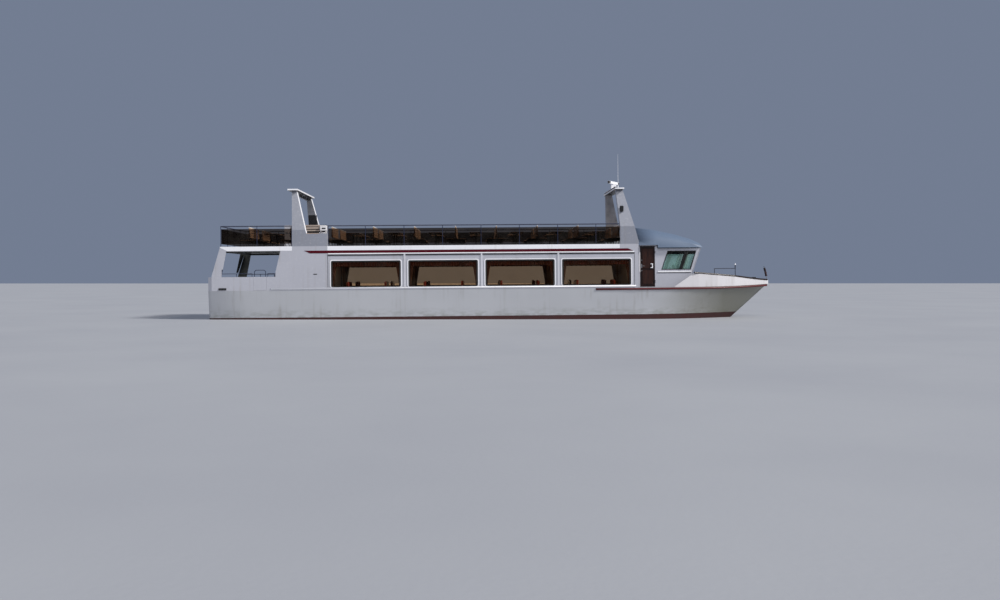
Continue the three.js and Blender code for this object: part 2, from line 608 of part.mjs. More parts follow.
for (const arch of ARCHES) {
  const start = arch.levels[0];
  const outline = [...arch.plate, [start.fwd, start.z + LEG_LAP], [start.aft, start.z + LEG_LAP]];
  for (const { name, sign } of SIDES) {
    const lower = plate("xz", outline, sign * (WALL_OUT - LEG_T), sign * WALL_OUT);
    const leg = loft(arch.levels.map(({ z, aft, fwd, out }) => [
      [aft, sign * out, z], [fwd, sign * out, z],
      [fwd, sign * (out - arch.depth), z], [aft, sign * (out - arch.depth), z],
    ]), "xy");
    place(`${arch.name}_leg_${name}`, join([lower, leg]), "white");
  }
  place(`${arch.name}_roof`, box(arch.roof.aft, arch.roof.fwd, -arch.roof.half, arch.roof.half,
    ARCH_ROOF_Z, ARCH_ROOF_Z + ARCH_ROOF_T), "white");
}

// Radar, its turning scanner and the whip antenna on the forward arch
const roofTop = ARCH_ROOF_Z + ARCH_ROOF_T;
const RADAR = { x: 6090, foot: 120, top: 6800, half: 130, halfWide: 150 };
const SCANNER = { stem: 35, rise: 40, height: 130, thick: 100, span: 1200, turn: -33 };
const WHIP = { x: 6100, y: -1500, top: 8200, base: 150, baseR: 25, r: 9, tipR: 4 };
place("radar_pedestal", join([
  rod([RADAR.x, 0, roofTop + GAP], [RADAR.x, 0, roofTop + RADAR.foot], 70, 12, 50),
  box(RADAR.x - RADAR.half, RADAR.x + RADAR.half, -RADAR.halfWide, RADAR.halfWide,
    roofTop + RADAR.foot - 20, RADAR.top),
]), "white");
const scannerFoot = RADAR.top + SCANNER.rise;
const scannerBar = new THREE.BoxGeometry(SCANNER.thick, SCANNER.span, SCANNER.height);
scannerBar.rotateZ(THREE.MathUtils.degToRad(SCANNER.turn));
scannerBar.translate(RADAR.x, 0, scannerFoot + SCANNER.height / 2);
place("radar_scanner", join([
  rod([RADAR.x, 0, RADAR.top + RUNNING_GAP], [RADAR.x, 0, scannerFoot + 20], SCANNER.stem, 12),
  toSolid(scannerBar),
]), "white");
place("whip_antenna", join([
  rod([WHIP.x, WHIP.y, roofTop + GAP], [WHIP.x, WHIP.y, roofTop + WHIP.base], WHIP.baseR),
  rod([WHIP.x, WHIP.y, roofTop + WHIP.base - 50], [WHIP.x, WHIP.y, WHIP.top], WHIP.r, 6, WHIP.tipR),
]), "white");

// Rails and screens of the sun deck: a stanchion at every rib, and a dark screen inside each rail
const RIB_PITCH = WINDOW.pitch / 2;
const MID_RAIL = { aft: -8310, fwd: 6000, firstPost: -8290, firstRib: -6480, ribs: 7 };
const AFT_RAIL = { aft: UPPER_DECK_AFT_X + 40, fwd: -10055, sidePosts: [-11750, -10070] };
const STERN_POSTS = [-RAIL_Y, -1250, 0, 1250, RAIL_Y];
const SCREEN = { z0: 3780, z1: 4510, t: 12 };
const screenOut = RAIL_Y - POST_R - GAP;
const midPosts = [MID_RAIL.firstPost];
for (let n = 0; n < MID_RAIL.ribs; n += 1) midPosts.push(MID_RAIL.firstRib + n * RIB_PITCH);

function stanchion(x, y) {
  return rod([x, y, DECK_EDGE + GAP], [x, y, RAIL_Z], POST_R);
}

for (const { name, sign } of SIDES) {
  const y = sign * RAIL_Y;
  place(`sun_deck_rail_${name}`, join([
    rod([MID_RAIL.aft, y, RAIL_Z], [MID_RAIL.fwd, y, RAIL_Z], RAIL_R),
    ...midPosts.map((x) => stanchion(x, y)),
  ]), "navy");
  place(`sun_deck_screen_${name}`, box(MID_RAIL.aft + 10, MID_RAIL.fwd + 10, sign * screenOut,
    sign * (screenOut - SCREEN.t), SCREEN.z0, SCREEN.z1), "screen");
}
place("stern_rail", join([
  rod([AFT_RAIL.aft, -RAIL_Y, RAIL_Z], [AFT_RAIL.aft, RAIL_Y, RAIL_Z], RAIL_R),
  ...STERN_POSTS.map((y) => stanchion(AFT_RAIL.aft, y)),
  ...SIDES.flatMap(({ sign }) => [
    rod([AFT_RAIL.aft, sign * RAIL_Y, RAIL_Z], [AFT_RAIL.fwd, sign * RAIL_Y, RAIL_Z], RAIL_R),
    ...AFT_RAIL.sidePosts.map((x) => stanchion(x, sign * RAIL_Y)),
  ]),
]), "navy");
const sternScreenX = AFT_RAIL.aft + POST_R + GAP;
const screenIn = screenOut - SCREEN.t;
const sternScreenFwd = AFT_RAIL.fwd - 20;
place("stern_screen", plate("xy", [
  [sternScreenFwd, -screenOut], [sternScreenFwd, -screenIn], [sternScreenX + SCREEN.t, -screenIn],
  [sternScreenX + SCREEN.t, screenIn], [sternScreenFwd, screenIn], [sternScreenFwd, screenOut],
  [sternScreenX, screenOut], [sternScreenX, -screenOut],
], SCREEN.z0, SCREEN.z1), "screen");

// Sun-deck seating: rows of back-to-back benches with a table between two rows, each side of the
// aisle, on one thin foot rail a side. The port side leaves the companionway free.
const BENCH = {
  first: -12148, pitch: 2014, rows: 10, inner: 450, outer: 2400, seat: 3980, seatT: 28,
  backFoot: 4080, top: 4600, backHalf: 30, slot: 40, reach: 480,
};
const FRAME = { in: 5, t: 45, half: 35, arm: 50, armIn: 20, footHalf: 230, footT: 22, sunk: 4 };
const TABLE = { top: 4290, t: 30, half: 320, inner: 600, outer: 2380, leg: 60, in: 20, footHalf: 180 };
const FOOT_RAIL = { y0: 2320, y1: 2380, rise: 2, t: 12 };
const deckFoot = DECK_TOP + GAP;

function benchRow(x, sign) {
  const arm = BENCH.seat - BENCH.seatT;
  const parts = [box(x - BENCH.backHalf, x + BENCH.backHalf, sign * BENCH.inner, sign * BENCH.outer,
    BENCH.backFoot, BENCH.top)];
  for (const y of [BENCH.inner + FRAME.in, BENCH.outer - FRAME.in - FRAME.t]) {
    const y0 = sign * y;
    const y1 = sign * (y + FRAME.t);
    const nip = sign * FRAME.sunk;
    parts.push(box(x - FRAME.half, x + FRAME.half, y0, y1, deckFoot + FRAME.sunk, BENCH.top - 10));
    parts.push(box(x - BENCH.reach + FRAME.armIn, x + BENCH.reach - FRAME.armIn, y0 + nip, y1 - nip,
      arm - FRAME.arm, arm + FRAME.in));
    parts.push(box(x - FRAME.footHalf, x + FRAME.footHalf, y0 + nip / 2, y1 - nip / 2, deckFoot,
      deckFoot + FRAME.footT));
  }
  for (const end of [-1, 1]) {
    parts.push(box(x + end * (BENCH.backHalf + BENCH.slot), x + end * BENCH.reach, sign * BENCH.inner,
      sign * BENCH.outer, arm, BENCH.seat));
  }
  return parts;
}

function deckTable(x, sign) {
  const half = TABLE.leg / 2;
  const nearY = TABLE.inner + TABLE.leg;
  const farY = TABLE.outer - TABLE.in - TABLE.leg;
  const parts = [
    box(x - TABLE.half, x + TABLE.half, sign * TABLE.inner, sign * TABLE.outer,
      TABLE.top - TABLE.t, TABLE.top),
    box(x - half + FRAME.sunk, x + half - FRAME.sunk, sign * (nearY + half), sign * (farY + half),
      deckFoot + FOOT_RAIL.rise + FRAME.sunk, deckFoot + FOOT_RAIL.t - FRAME.sunk / 2),
  ];
  for (const y of [nearY, farY]) {
    parts.push(box(x - half, x + half, sign * y, sign * (y + TABLE.leg), deckFoot + FRAME.sunk,
      TABLE.top - 10));
    parts.push(box(x - TABLE.footHalf, x + TABLE.footHalf, sign * (y - FRAME.in),
      sign * (y + TABLE.leg + FRAME.in), deckFoot, deckFoot + FOOT_RAIL.t));
  }
  return parts;
}

const overHatch = (x, reach) => x + reach > STAIR.x0 && x - reach < STAIR.x1;
const rowPlaces = Array.from({ length: BENCH.rows }, (_, n) => BENCH.first + n * BENCH.pitch);
const tablePlaces = rowPlaces.slice(1).map((x) => x - BENCH.pitch / 2);
for (const { name, sign } of SIDES) {
  const free = (reach) => (x) => sign < 0 || !overHatch(x, reach);
  const rows = rowPlaces.filter(free(BENCH.reach));
  const tables = tablePlaces.filter(free(TABLE.half));
  place(`sun_deck_seating_${name}`, join([
    box(rows[0] - FRAME.half, rows[rows.length - 1] + FRAME.half, sign * FOOT_RAIL.y0,
      sign * FOOT_RAIL.y1, deckFoot + FOOT_RAIL.rise, deckFoot + FOOT_RAIL.rise + FOOT_RAIL.t),
    ...rows.flatMap((x) => benchRow(x, sign)),
    ...tables.flatMap((x) => deckTable(x, sign)),
  ]), "tan");
}

// Companionway from the aft deck to the sun deck, with the boards that guard its hatch on three sides
const STRINGER = { t: 40, play: 5, foot: 330, shoulder: 260, above: 40, aft: 20, landing: 200 };
const GUARD = { t: 36, in: 2, foot: 3480, low: 4420, boardFoot: 4520, top: 4880, post: 60 };
const stairRise = (DECK_TOP - AFT_FLOOR) / STAIR.steps;
const stairRun = (STAIR.x1 - STAIR.x0) / STAIR.steps;
const stairEnd = STAIR.x1 - GAP;
const stairParts = [];
for (let n = 0; n < STAIR.steps; n += 1) {
  const x = STAIR.x0 + n * stairRun;
  const z = AFT_FLOOR + (n + 1) * stairRise;
  stairParts.push(box(x, Math.min(x + stairRun + STRINGER.t, stairEnd - GUARD.in),
    STAIR.y0 + STRINGER.t / 2, STAIR.y1 - STRINGER.t / 2, z - STRINGER.t, z));
}
const stringerTop = DECK_TOP + STRINGER.above;
const stringerOutline = [
  [STAIR.x0 - STRINGER.aft, AFT_FLOOR + GAP], [STAIR.x0 + STRINGER.foot, AFT_FLOOR + GAP],
  [stairEnd, DECK_TOP - STRINGER.foot], [stairEnd, stringerTop],
  [stairEnd - STRINGER.landing, stringerTop], [STAIR.x0 - STRINGER.aft, AFT_FLOOR + STRINGER.shoulder],
];
for (const y of [STAIR.y0 + STRINGER.play, STAIR.y1 - STRINGER.play - STRINGER.t]) {
  stairParts.push(plate("xz", stringerOutline, y, y + STRINGER.t));
}
const guard = {
  aft: HATCH_AFT_X + STRINGER.play, fwd: stairEnd - 3 * GUARD.in,
  y0: STAIR.y0 + STRINGER.play + GUARD.in, y1: STAIR.y1 - STRINGER.play - GUARD.in,
};
const guardOutline = [
  [guard.fwd, guard.y0], [guard.fwd, guard.y0 + GUARD.t], [guard.aft + GUARD.t, guard.y0 + GUARD.t],
  [guard.aft + GUARD.t, guard.y1 - GUARD.t], [guard.fwd, guard.y1 - GUARD.t], [guard.fwd, guard.y1],
  [guard.aft, guard.y1], [guard.aft, guard.y0],
];
stairParts.push(plate("xy", guardOutline, GUARD.foot, GUARD.low));
stairParts.push(plate("xy", guardOutline, GUARD.boardFoot, GUARD.top));
for (const y of [guard.y0 + GUARD.in, guard.y1 - GUARD.t + GUARD.in]) {
  for (const x of [guard.aft + GUARD.in, guard.fwd - GUARD.post - GUARD.in]) {
    stairParts.push(box(x, x + GUARD.post, y, y + GUARD.t - 2 * GUARD.in, GUARD.low - 10,
      GUARD.boardFoot + 10));
  }
}
place("companionway_stairs", join(stairParts), "white");

// Wheelhouse: sides, raked front, domed roof, doors
const HOUSE_OUT = 1900;
const HOUSE_T = 50;
const HOUSE_AFT_X = 6950;
const HOUSE_FRONT = { low: 9720, high: 10120, sillZ: 2260, topZ: 3440 };
const HOUSE_DOOR = { x0: 7105, x1: 7855, z0: 1520, z1: 3560 };
const DOOR_PLAY = 6;
const DOOR_T = 40;
const SIDE_WINDOW = [[8190, 2380], [9640, 2380], [9930, 3300], [8500, 3300]];
const SIDE_PANE = [[8150, 2340], [9640, 2340], [9960, 3340], [8460, 3340]];
const HOUSE_SIDE = [
  [HOUSE_AFT_X, SHEER + GAP], [HOUSE_FRONT.low, SHEER + GAP], [HOUSE_FRONT.low, HOUSE_FRONT.sillZ],
  [HOUSE_FRONT.high, HOUSE_FRONT.topZ], [7970, HOUSE_FRONT.topZ], [7970, 3600], [HOUSE_AFT_X, 3600],
];
for (const { name, sign } of SIDES) {
  const outer = sign * HOUSE_OUT;
  const inner = sign * (HOUSE_OUT - HOUSE_T);
  const hinge = { x: HOUSE_DOOR.x1, along: -1, face: outer, out: sign, heights: [1800, 3250] };
  const wall = cut(plate("xz", HOUSE_SIDE, inner, outer), [
    box(HOUSE_DOOR.x0, HOUSE_DOOR.x1, inner - sign * THROUGH, outer + sign * THROUGH, HOUSE_DOOR.z0,
      HOUSE_DOOR.z1),
    plate("xz", SIDE_WINDOW, inner - sign * THROUGH, outer + sign * THROUGH),
  ]);
  place(`wheelhouse_side_${name}`, join([wall, ...hingeLugs(hinge)]), "white");
  place(`wheelhouse_door_${name}`, join([
    box(HOUSE_DOOR.x0 + DOOR_PLAY, HOUSE_DOOR.x1 - DOOR_PLAY, outer - sign * DOOR_T, outer,
      HOUSE_DOOR.z0 + DOOR_PLAY, HOUSE_DOOR.z1 - DOOR_PLAY),
    ...hingeBarrels(hinge),
  ]), "door");
  place(`wheelhouse_side_glazing_${name}`, plate("xz", SIDE_PANE, inner - sign * GAP,
    inner - sign * (GAP + PANE_T)), "greenGlass");
}

// The front is a bent wall with three panes: columns are x past the side's front edge, and y.
const FRONT_BEND = { x: 180, y: 1100 };
const FRONT_PLAN = [
  [0, HOUSE_OUT], [FRONT_BEND.x, FRONT_BEND.y], [FRONT_BEND.x, -FRONT_BEND.y], [0, -HOUSE_OUT],
];
const FRONT_LEAD = 60;           // how far the front stands ahead of the sides' forward edge
const SIDE_DRAW = 0.6;           // how much of the wall's thickness shows sideways at its ends
const FRONT_WINDOW = { half: 1000, z0: 2380, z1: 3300, corner: 620, cornerX: 10030, cornerY: 1500 };
function frontRing(x, z, outset, thickness) {
  const turn = outset + thickness;
  const corner = ([dx, y], inward) => [
    x + dx + FRONT_LEAD - inward, y - Math.sign(y) * inward * SIDE_DRAW, z,
  ];
  return [
    ...FRONT_PLAN.map((point) => corner(point, outset)),
    ...FRONT_PLAN.map((point) => corner(point, turn)).reverse(),
  ];
}
const frontFoot = deckEdgeAt(HOUSE_FRONT.low + FRONT_BEND.x + FRONT_LEAD).z + GAP;
const frontLevels = [
  [HOUSE_FRONT.low, frontFoot], [HOUSE_FRONT.low, HOUSE_FRONT.sillZ],
  [HOUSE_FRONT.high, HOUSE_FRONT.topZ],
];
const frontWall = loft(frontLevels.map(([x, z]) => frontRing(x, z, 0, HOUSE_T)), "xy");
const centrePane = plate("yz", [
  [-FRONT_WINDOW.half, FRONT_WINDOW.z0], [FRONT_WINDOW.half, FRONT_WINDOW.z0],
  [FRONT_WINDOW.half, FRONT_WINDOW.z1], [-FRONT_WINDOW.half, FRONT_WINDOW.z1],
], HOUSE_FRONT.low - 200, HOUSE_FRONT.high + 1100);
const cornerAngle = Math.atan2(HOUSE_OUT - FRONT_BEND.y, FRONT_BEND.x);
const paneHeight = FRONT_WINDOW.z1 - FRONT_WINDOW.z0;
const cornerPanes = SIDES.map(({ sign }) => {
  const geometry = new THREE.BoxGeometry(1000, FRONT_WINDOW.corner, paneHeight);
  geometry.rotateZ(sign * (Math.PI / 2 - cornerAngle));
  geometry.translate(FRONT_WINDOW.cornerX, sign * FRONT_WINDOW.cornerY, FRONT_WINDOW.z0 + paneHeight / 2);
  return toSolid(geometry);
});
place("wheelhouse_front", cut(frontWall, [centrePane, ...cornerPanes]), "white");
const paneLevels = [FRONT_WINDOW.z0 - THROUGH, FRONT_WINDOW.z1 + THROUGH].map((z) => {
  const share = (z - HOUSE_FRONT.sillZ) / (HOUSE_FRONT.topZ - HOUSE_FRONT.sillZ);
  return [HOUSE_FRONT.low + share * (HOUSE_FRONT.high - HOUSE_FRONT.low), z];
});
place("wheelhouse_front_glazing", cut(
  loft(paneLevels.map(([x, z]) => frontRing(x, z, HOUSE_T + 1, PANE_T)), "xy"),
  SIDES.map(({ sign }) => box(9000, 11000, sign * (HOUSE_OUT - HOUSE_T - 10), sign * WALL_OUT,
    2000, 3600)),
), "greenGlass");

// Roof: a domed shell. Columns: x, half-width at the edge, crown height, and how far the middle
// of the section runs ahead of its edges.
const ROOF_EDGE = 3470;
const ROOF_T = 60;
const ROOF_SQUARE = 0.75;
const ROOF_STATIONS = [
  { x: 6960, half: 2080, crown: 4560, ahead: 0 },
  { x: 7960, half: 2080, crown: 4450, ahead: 0 },
  { x: 9000, half: 2060, crown: 4215, ahead: 30 },
  { x: 9700, half: 2020, crown: 3990, ahead: 60 },
  { x: 10110, half: 1960, crown: 3770, ahead: 120 },
  { x: 10240, half: 1880, crown: 3590, ahead: 200 },
];
function roofRing({ x, half, crown, ahead }, inset, foot) {
  const ring = [];
  const steps = 12;
  for (let k = 0; k <= steps; k += 1) {
    const angle = Math.PI * (k / steps);
    const share = Math.sign(Math.cos(angle)) * Math.abs(Math.cos(angle)) ** ROOF_SQUARE;
    const rise = Math.sin(angle) ** ROOF_SQUARE;
    ring.push([x + ahead * (1 - share * share), share * (half - inset),
      k % steps === 0 ? foot : foot + (crown - inset - foot) * rise]);
  }
  return ring;
}
const roofOuter = loft(ROOF_STATIONS.map((row) => roofRing(row, 0, ROOF_EDGE)), "yz");
const lastInner = ROOF_STATIONS.length - 2;
const roofInner = loft(ROOF_STATIONS.slice(0, lastInner + 1).map((row, n) => roofRing({
  ...row, x: row.x + (n === 0 ? ROOF_T : 0) - (n === lastInner ? ROOF_T / 3 : 0),
}, ROOF_T, ROOF_EDGE - 40)), "yz");
const DOOR_HEAD = { z: 3600, fwd: 7980, aftX: 6990, aftZ: 3660 };   // the roof is higher over the doors
place("wheelhouse_roof", cut(roofOuter, [
  roofInner,
  box(SALOON_END_X, DOOR_HEAD.fwd, -WALL_OUT, WALL_OUT, SHEER, DOOR_HEAD.z + GAP),
  box(SALOON_END_X, DOOR_HEAD.aftX, -WALL_OUT, WALL_OUT, SHEER, DOOR_HEAD.aftZ),
]), "roof");

// Helm console and seat
const CONSOLE = { aft: 9050, fwd: 9600, half: 1200, top: 2250, crest: 2420 };
const SEAT = { x: 8450, half: 250, back: 8180, backT: 80, z: 1960, pad: 120, top: 2700, stem: 60 };
place("helm_console", join([
  box(CONSOLE.aft, CONSOLE.fwd, -CONSOLE.half, CONSOLE.half, SHEER + GAP, CONSOLE.top),
  plate("xz", [
    [CONSOLE.aft, CONSOLE.top - 10], [CONSOLE.fwd, CONSOLE.top - 10], [CONSOLE.fwd, CONSOLE.crest - 40],
    [CONSOLE.fwd - 250, CONSOLE.crest],
  ], -CONSOLE.half, CONSOLE.half),
]), "black");
place("helm_seat", join([
  rod([SEAT.x, 0, SHEER + GAP], [SEAT.x, 0, SEAT.z + 40], SEAT.stem, 12),
  box(SEAT.x - SEAT.half, SEAT.x + SEAT.half, -SEAT.half, SEAT.half, SEAT.z, SEAT.z + SEAT.pad),
  box(SEAT.back, SEAT.back + SEAT.backT, -SEAT.half + 10, SEAT.half - 10, SEAT.z + SEAT.pad - 20,
    SEAT.top),
]), "black");

// Foredeck: hatch, windlass, low rail with its lamp post, bollards, jackstaff
const HATCH = { aft: 10700, fwd: 11300, half: 350, height: 160 };
const WINDLASS = { aft: 12000, fwd: 12400, half: 230, height: 260, drum: 110, drumHalf: 360 };
const hatchFoot = deckEdgeAt(HATCH.fwd).z + GAP;
const windlassFoot = deckEdgeAt(WINDLASS.fwd).z + GAP;
const drumX = (WINDLASS.aft + WINDLASS.fwd) / 2;
const drumZ = windlassFoot + WINDLASS.height - 20;
place("foredeck_hatch", box(HATCH.aft, HATCH.fwd, -HATCH.half, HATCH.half, hatchFoot,
  hatchFoot + HATCH.height), "white");
place("windlass", join([
  box(WINDLASS.aft, WINDLASS.fwd, -WINDLASS.half, WINDLASS.half, windlassFoot,
    windlassFoot + WINDLASS.height),
  rod([drumX, -WINDLASS.drumHalf, drumZ], [drumX, WINDLASS.drumHalf, drumZ], WINDLASS.drum, 12),
]), "steel");
const PULPIT = { aft: 11340, fwd: 12430, z: 2420, r: 20, lampTop: 2600, lampR: 30 };
place("bow_rail", join([
  ...[PULPIT.aft, PULPIT.fwd].map((x) => rod(
    [x, 0, deckEdgeAt(x + PULPIT.r).z + GAP], [x, 0, PULPIT.z], PULPIT.r)),
  rod([PULPIT.aft - PULPIT.r, 0, PULPIT.z], [PULPIT.fwd + PULPIT.r, 0, PULPIT.z], PULPIT.r),
  rod([PULPIT.fwd, 0, PULPIT.z], [PULPIT.fwd, 0, PULPIT.lampTop], PULPIT.lampR),
]), "steel");
const STAFF = { footX: 14105, headX: 13950, top: 2480, r: 18, tipR: 14 };
const staffLean = STAFF.footX - STAFF.headX;
const staffLift = STAFF.r * staffLean / Math.hypot(staffLean, STAFF.top - STEM_HEAD.z);
place("jackstaff", rod([STAFF.footX, 0, STEM_HEAD.z + GAP + staffLift],
  [STAFF.headX, 0, STAFF.top], STAFF.r, 8, STAFF.tipR), "steel");
const BOLLARD = { x: 10400, y: 1650, baseX: 230, baseY: 80, baseT: 20, apart: 130, r: 55, top: 260 };
const bollardFoot = deckEdgeAt(BOLLARD.x + BOLLARD.baseX).z + GAP;
for (const { name, sign } of SIDES) {
  const y = sign * BOLLARD.y;
  place(`bow_bollard_${name}`, join([
    box(BOLLARD.x - BOLLARD.baseX, BOLLARD.x + BOLLARD.baseX, y - BOLLARD.baseY, y + BOLLARD.baseY,
      bollardFoot, bollardFoot + BOLLARD.baseT),
    ...[-1, 1].map((end) => rod([BOLLARD.x + end * BOLLARD.apart, y, bollardFoot + BOLLARD.baseT / 2],
      [BOLLARD.x + end * BOLLARD.apart, y, bollardFoot + BOLLARD.top], BOLLARD.r, 12)),
  ]), "black");
}

// Propeller on its shaft, and the rudder on its stock
const PROP = { x: -12580, boss: 55, bossAft: 75, bossHalf: 150, blades: 4, pitch: 35 };
const BLADE = { t: 26, half: 135, length: 185, middle: 190 };
const blades = Array.from({ length: PROP.blades }, (_, n) => {
  const outline = new THREE.Shape();
  outline.absellipse(0, BLADE.middle, BLADE.half, BLADE.length, 0, Math.PI * 2);
  const geometry = new THREE.ExtrudeGeometry(outline, {
    depth: BLADE.t, bevelEnabled: false, curveSegments: 8,
  });
  geometry.translate(0, 0, -BLADE.t / 2);
  geometry.applyMatrix4(new THREE.Matrix4().makeBasis(
    new THREE.Vector3(0, 1, 0), new THREE.Vector3(0, 0, 1), new THREE.Vector3(1, 0, 0)));
  geometry.rotateZ(THREE.MathUtils.degToRad(PROP.pitch));
  geometry.rotateX(n * 2 * Math.PI / PROP.blades);
  geometry.translate(PROP.x, 0, SHAFT_Z);
  return toSolid(geometry);
});
place("propeller", join([
  rod([PROP.x - PROP.bossHalf, 0, SHAFT_Z], [STERN_TUBE.aft - 6, 0, SHAFT_Z], PROP.boss, 16,
    PROP.bossAft),
  rod([PROP.x, 0, SHAFT_Z], [BORE_END_X - 100, 0, SHAFT_Z], SHAFT_R, SHAFT_SIDES),
  ...blades,
]), "bronze");
const RUDDER = { top: -370, lead: 190, shoulder: 120, tail: 430, half: 45, shoulderHalf: 36, tailHalf: 8 };
place("rudder", join([
  plate("xy", [
    [RUDDER_X + RUDDER.lead, 0], [RUDDER_X + RUDDER.shoulder, RUDDER.shoulderHalf],
    [RUDDER_X, RUDDER.half], [RUDDER_X - RUDDER.tail, RUDDER.tailHalf],
    [RUDDER_X - RUDDER.tail, -RUDDER.tailHalf], [RUDDER_X, -RUDDER.half],
    [RUDDER_X + RUDDER.shoulder, -RUDDER.shoulderHalf],
  ], SHOE.top + 20, RUDDER.top),
  rod([RUDDER_X, 0, SHOE.top + 40], [RUDDER_X, 0, RUDDER_BORE_TOP - 100], SHAFT_R, SHAFT_SIDES),
  rod([RUDDER_X, 0, SHOE.top + RUNNING_GAP], [RUDDER_X, 0, SHOE.top + 30], 25, 12),
]), "darkRed");

export default ferry;
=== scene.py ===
# A passenger ferry: its paints, panes, timber and cloth over the built steel.
import math
from functools import partialmethod
from types import SimpleNamespace as Sizes
import bmesh
import bpy
from mathutils import Matrix, Vector


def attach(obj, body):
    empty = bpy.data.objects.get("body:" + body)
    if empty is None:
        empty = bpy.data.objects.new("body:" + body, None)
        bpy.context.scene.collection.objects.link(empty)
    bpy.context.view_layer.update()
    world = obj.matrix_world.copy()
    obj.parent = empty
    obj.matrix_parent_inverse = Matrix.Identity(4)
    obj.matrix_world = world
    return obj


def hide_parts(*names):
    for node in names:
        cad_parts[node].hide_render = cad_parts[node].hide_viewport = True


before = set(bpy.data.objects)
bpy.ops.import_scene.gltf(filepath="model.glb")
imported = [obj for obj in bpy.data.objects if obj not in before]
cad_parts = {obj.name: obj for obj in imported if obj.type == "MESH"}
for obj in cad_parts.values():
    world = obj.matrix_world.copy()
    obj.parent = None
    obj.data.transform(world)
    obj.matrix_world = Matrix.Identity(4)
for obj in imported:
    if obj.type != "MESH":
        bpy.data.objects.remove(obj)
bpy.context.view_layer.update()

# The camera stands off the starboard side with its eye two metres over the water, and looks a
# little towards the bow. The boat floats slightly bow up, so level water leans in its frame.
EYE = Vector((-1.14, -48.15, 2.03))
TOWARDS_BOW = 0.0269
BOW_UP = 0.0084
level = Vector((BOW_UP, 0, 1)).normalized()
look = Vector((math.sin(TOWARDS_BOW), math.cos(TOWARDS_BOW), -BOW_UP * math.sin(TOWARDS_BOW))).normalized()
right = look.cross(level).normalized()
camera = bpy.data.objects.new("camera", bpy.data.cameras.new("camera"))
bpy.context.scene.collection.objects.link(camera)
aimed = Matrix((right, right.cross(look), -look)).transposed().to_4x4()
camera.matrix_world = Matrix.Translation(EYE) @ aimed
camera.data.sensor_width = 36
camera.data.lens = 33.48
camera.data.shift_y = -0.022
camera.data.clip_end = 1500
bpy.context.scene.camera = camera
bpy.context.scene.view_settings.view_transform = "Standard"

# A plain pale floor lies at the waterline, where the water would be, and the boat's bottom is
# under it. A plain surround, a broad key light ahead of the bow and a wide fill light the boat.
FLOOR_HALF = 300
KEY = Sizes(toward=(0.72, -0.25, 0.65), energy=3.6, angle=0.16, colour=(1.0, 0.97, 0.93))
FILL = Sizes(toward=(-0.12, -0.80, 0.58), energy=1.0, angle=0.6, colour=(1.0, 0.98, 0.98))
SURROUND = (0.17, 0.205, 0.285, 1)


class Wire:
    """One output of a finish's nodes. A sum written on it adds the Math nodes that work it out."""

    def __init__(self, finish, socket):
        self.finish = finish
        self.socket = socket

    def maths(self, operation, *others, clamp=False):
        settings = {"operation": operation, "use_clamp": clamp}
        return self.finish.node("ShaderNodeMath", settings, dict(enumerate((self, *others))))

    __add__ = __radd__ = partialmethod(maths, "ADD")
    __mul__ = __rmul__ = partialmethod(maths, "MULTIPLY")
    __sub__ = partialmethod(maths, "SUBTRACT")
    __truediv__ = partialmethod(maths, "DIVIDE")
    __mod__ = partialmethod(maths, "FLOORED_MODULO")
    __gt__ = partialmethod(maths, "GREATER_THAN")
    __lt__ = partialmethod(maths, "LESS_THAN")
    __or__ = partialmethod(maths, "MAXIMUM")
    __abs__ = partialmethod(maths, "ABSOLUTE")

    def __rsub__(self, other):
        return self * -1 + other

    def within(self, low, high):
        """0 below low, 1 above high, and evenly between."""
        return (self - low).maths("DIVIDE", high - low, clamp=True)


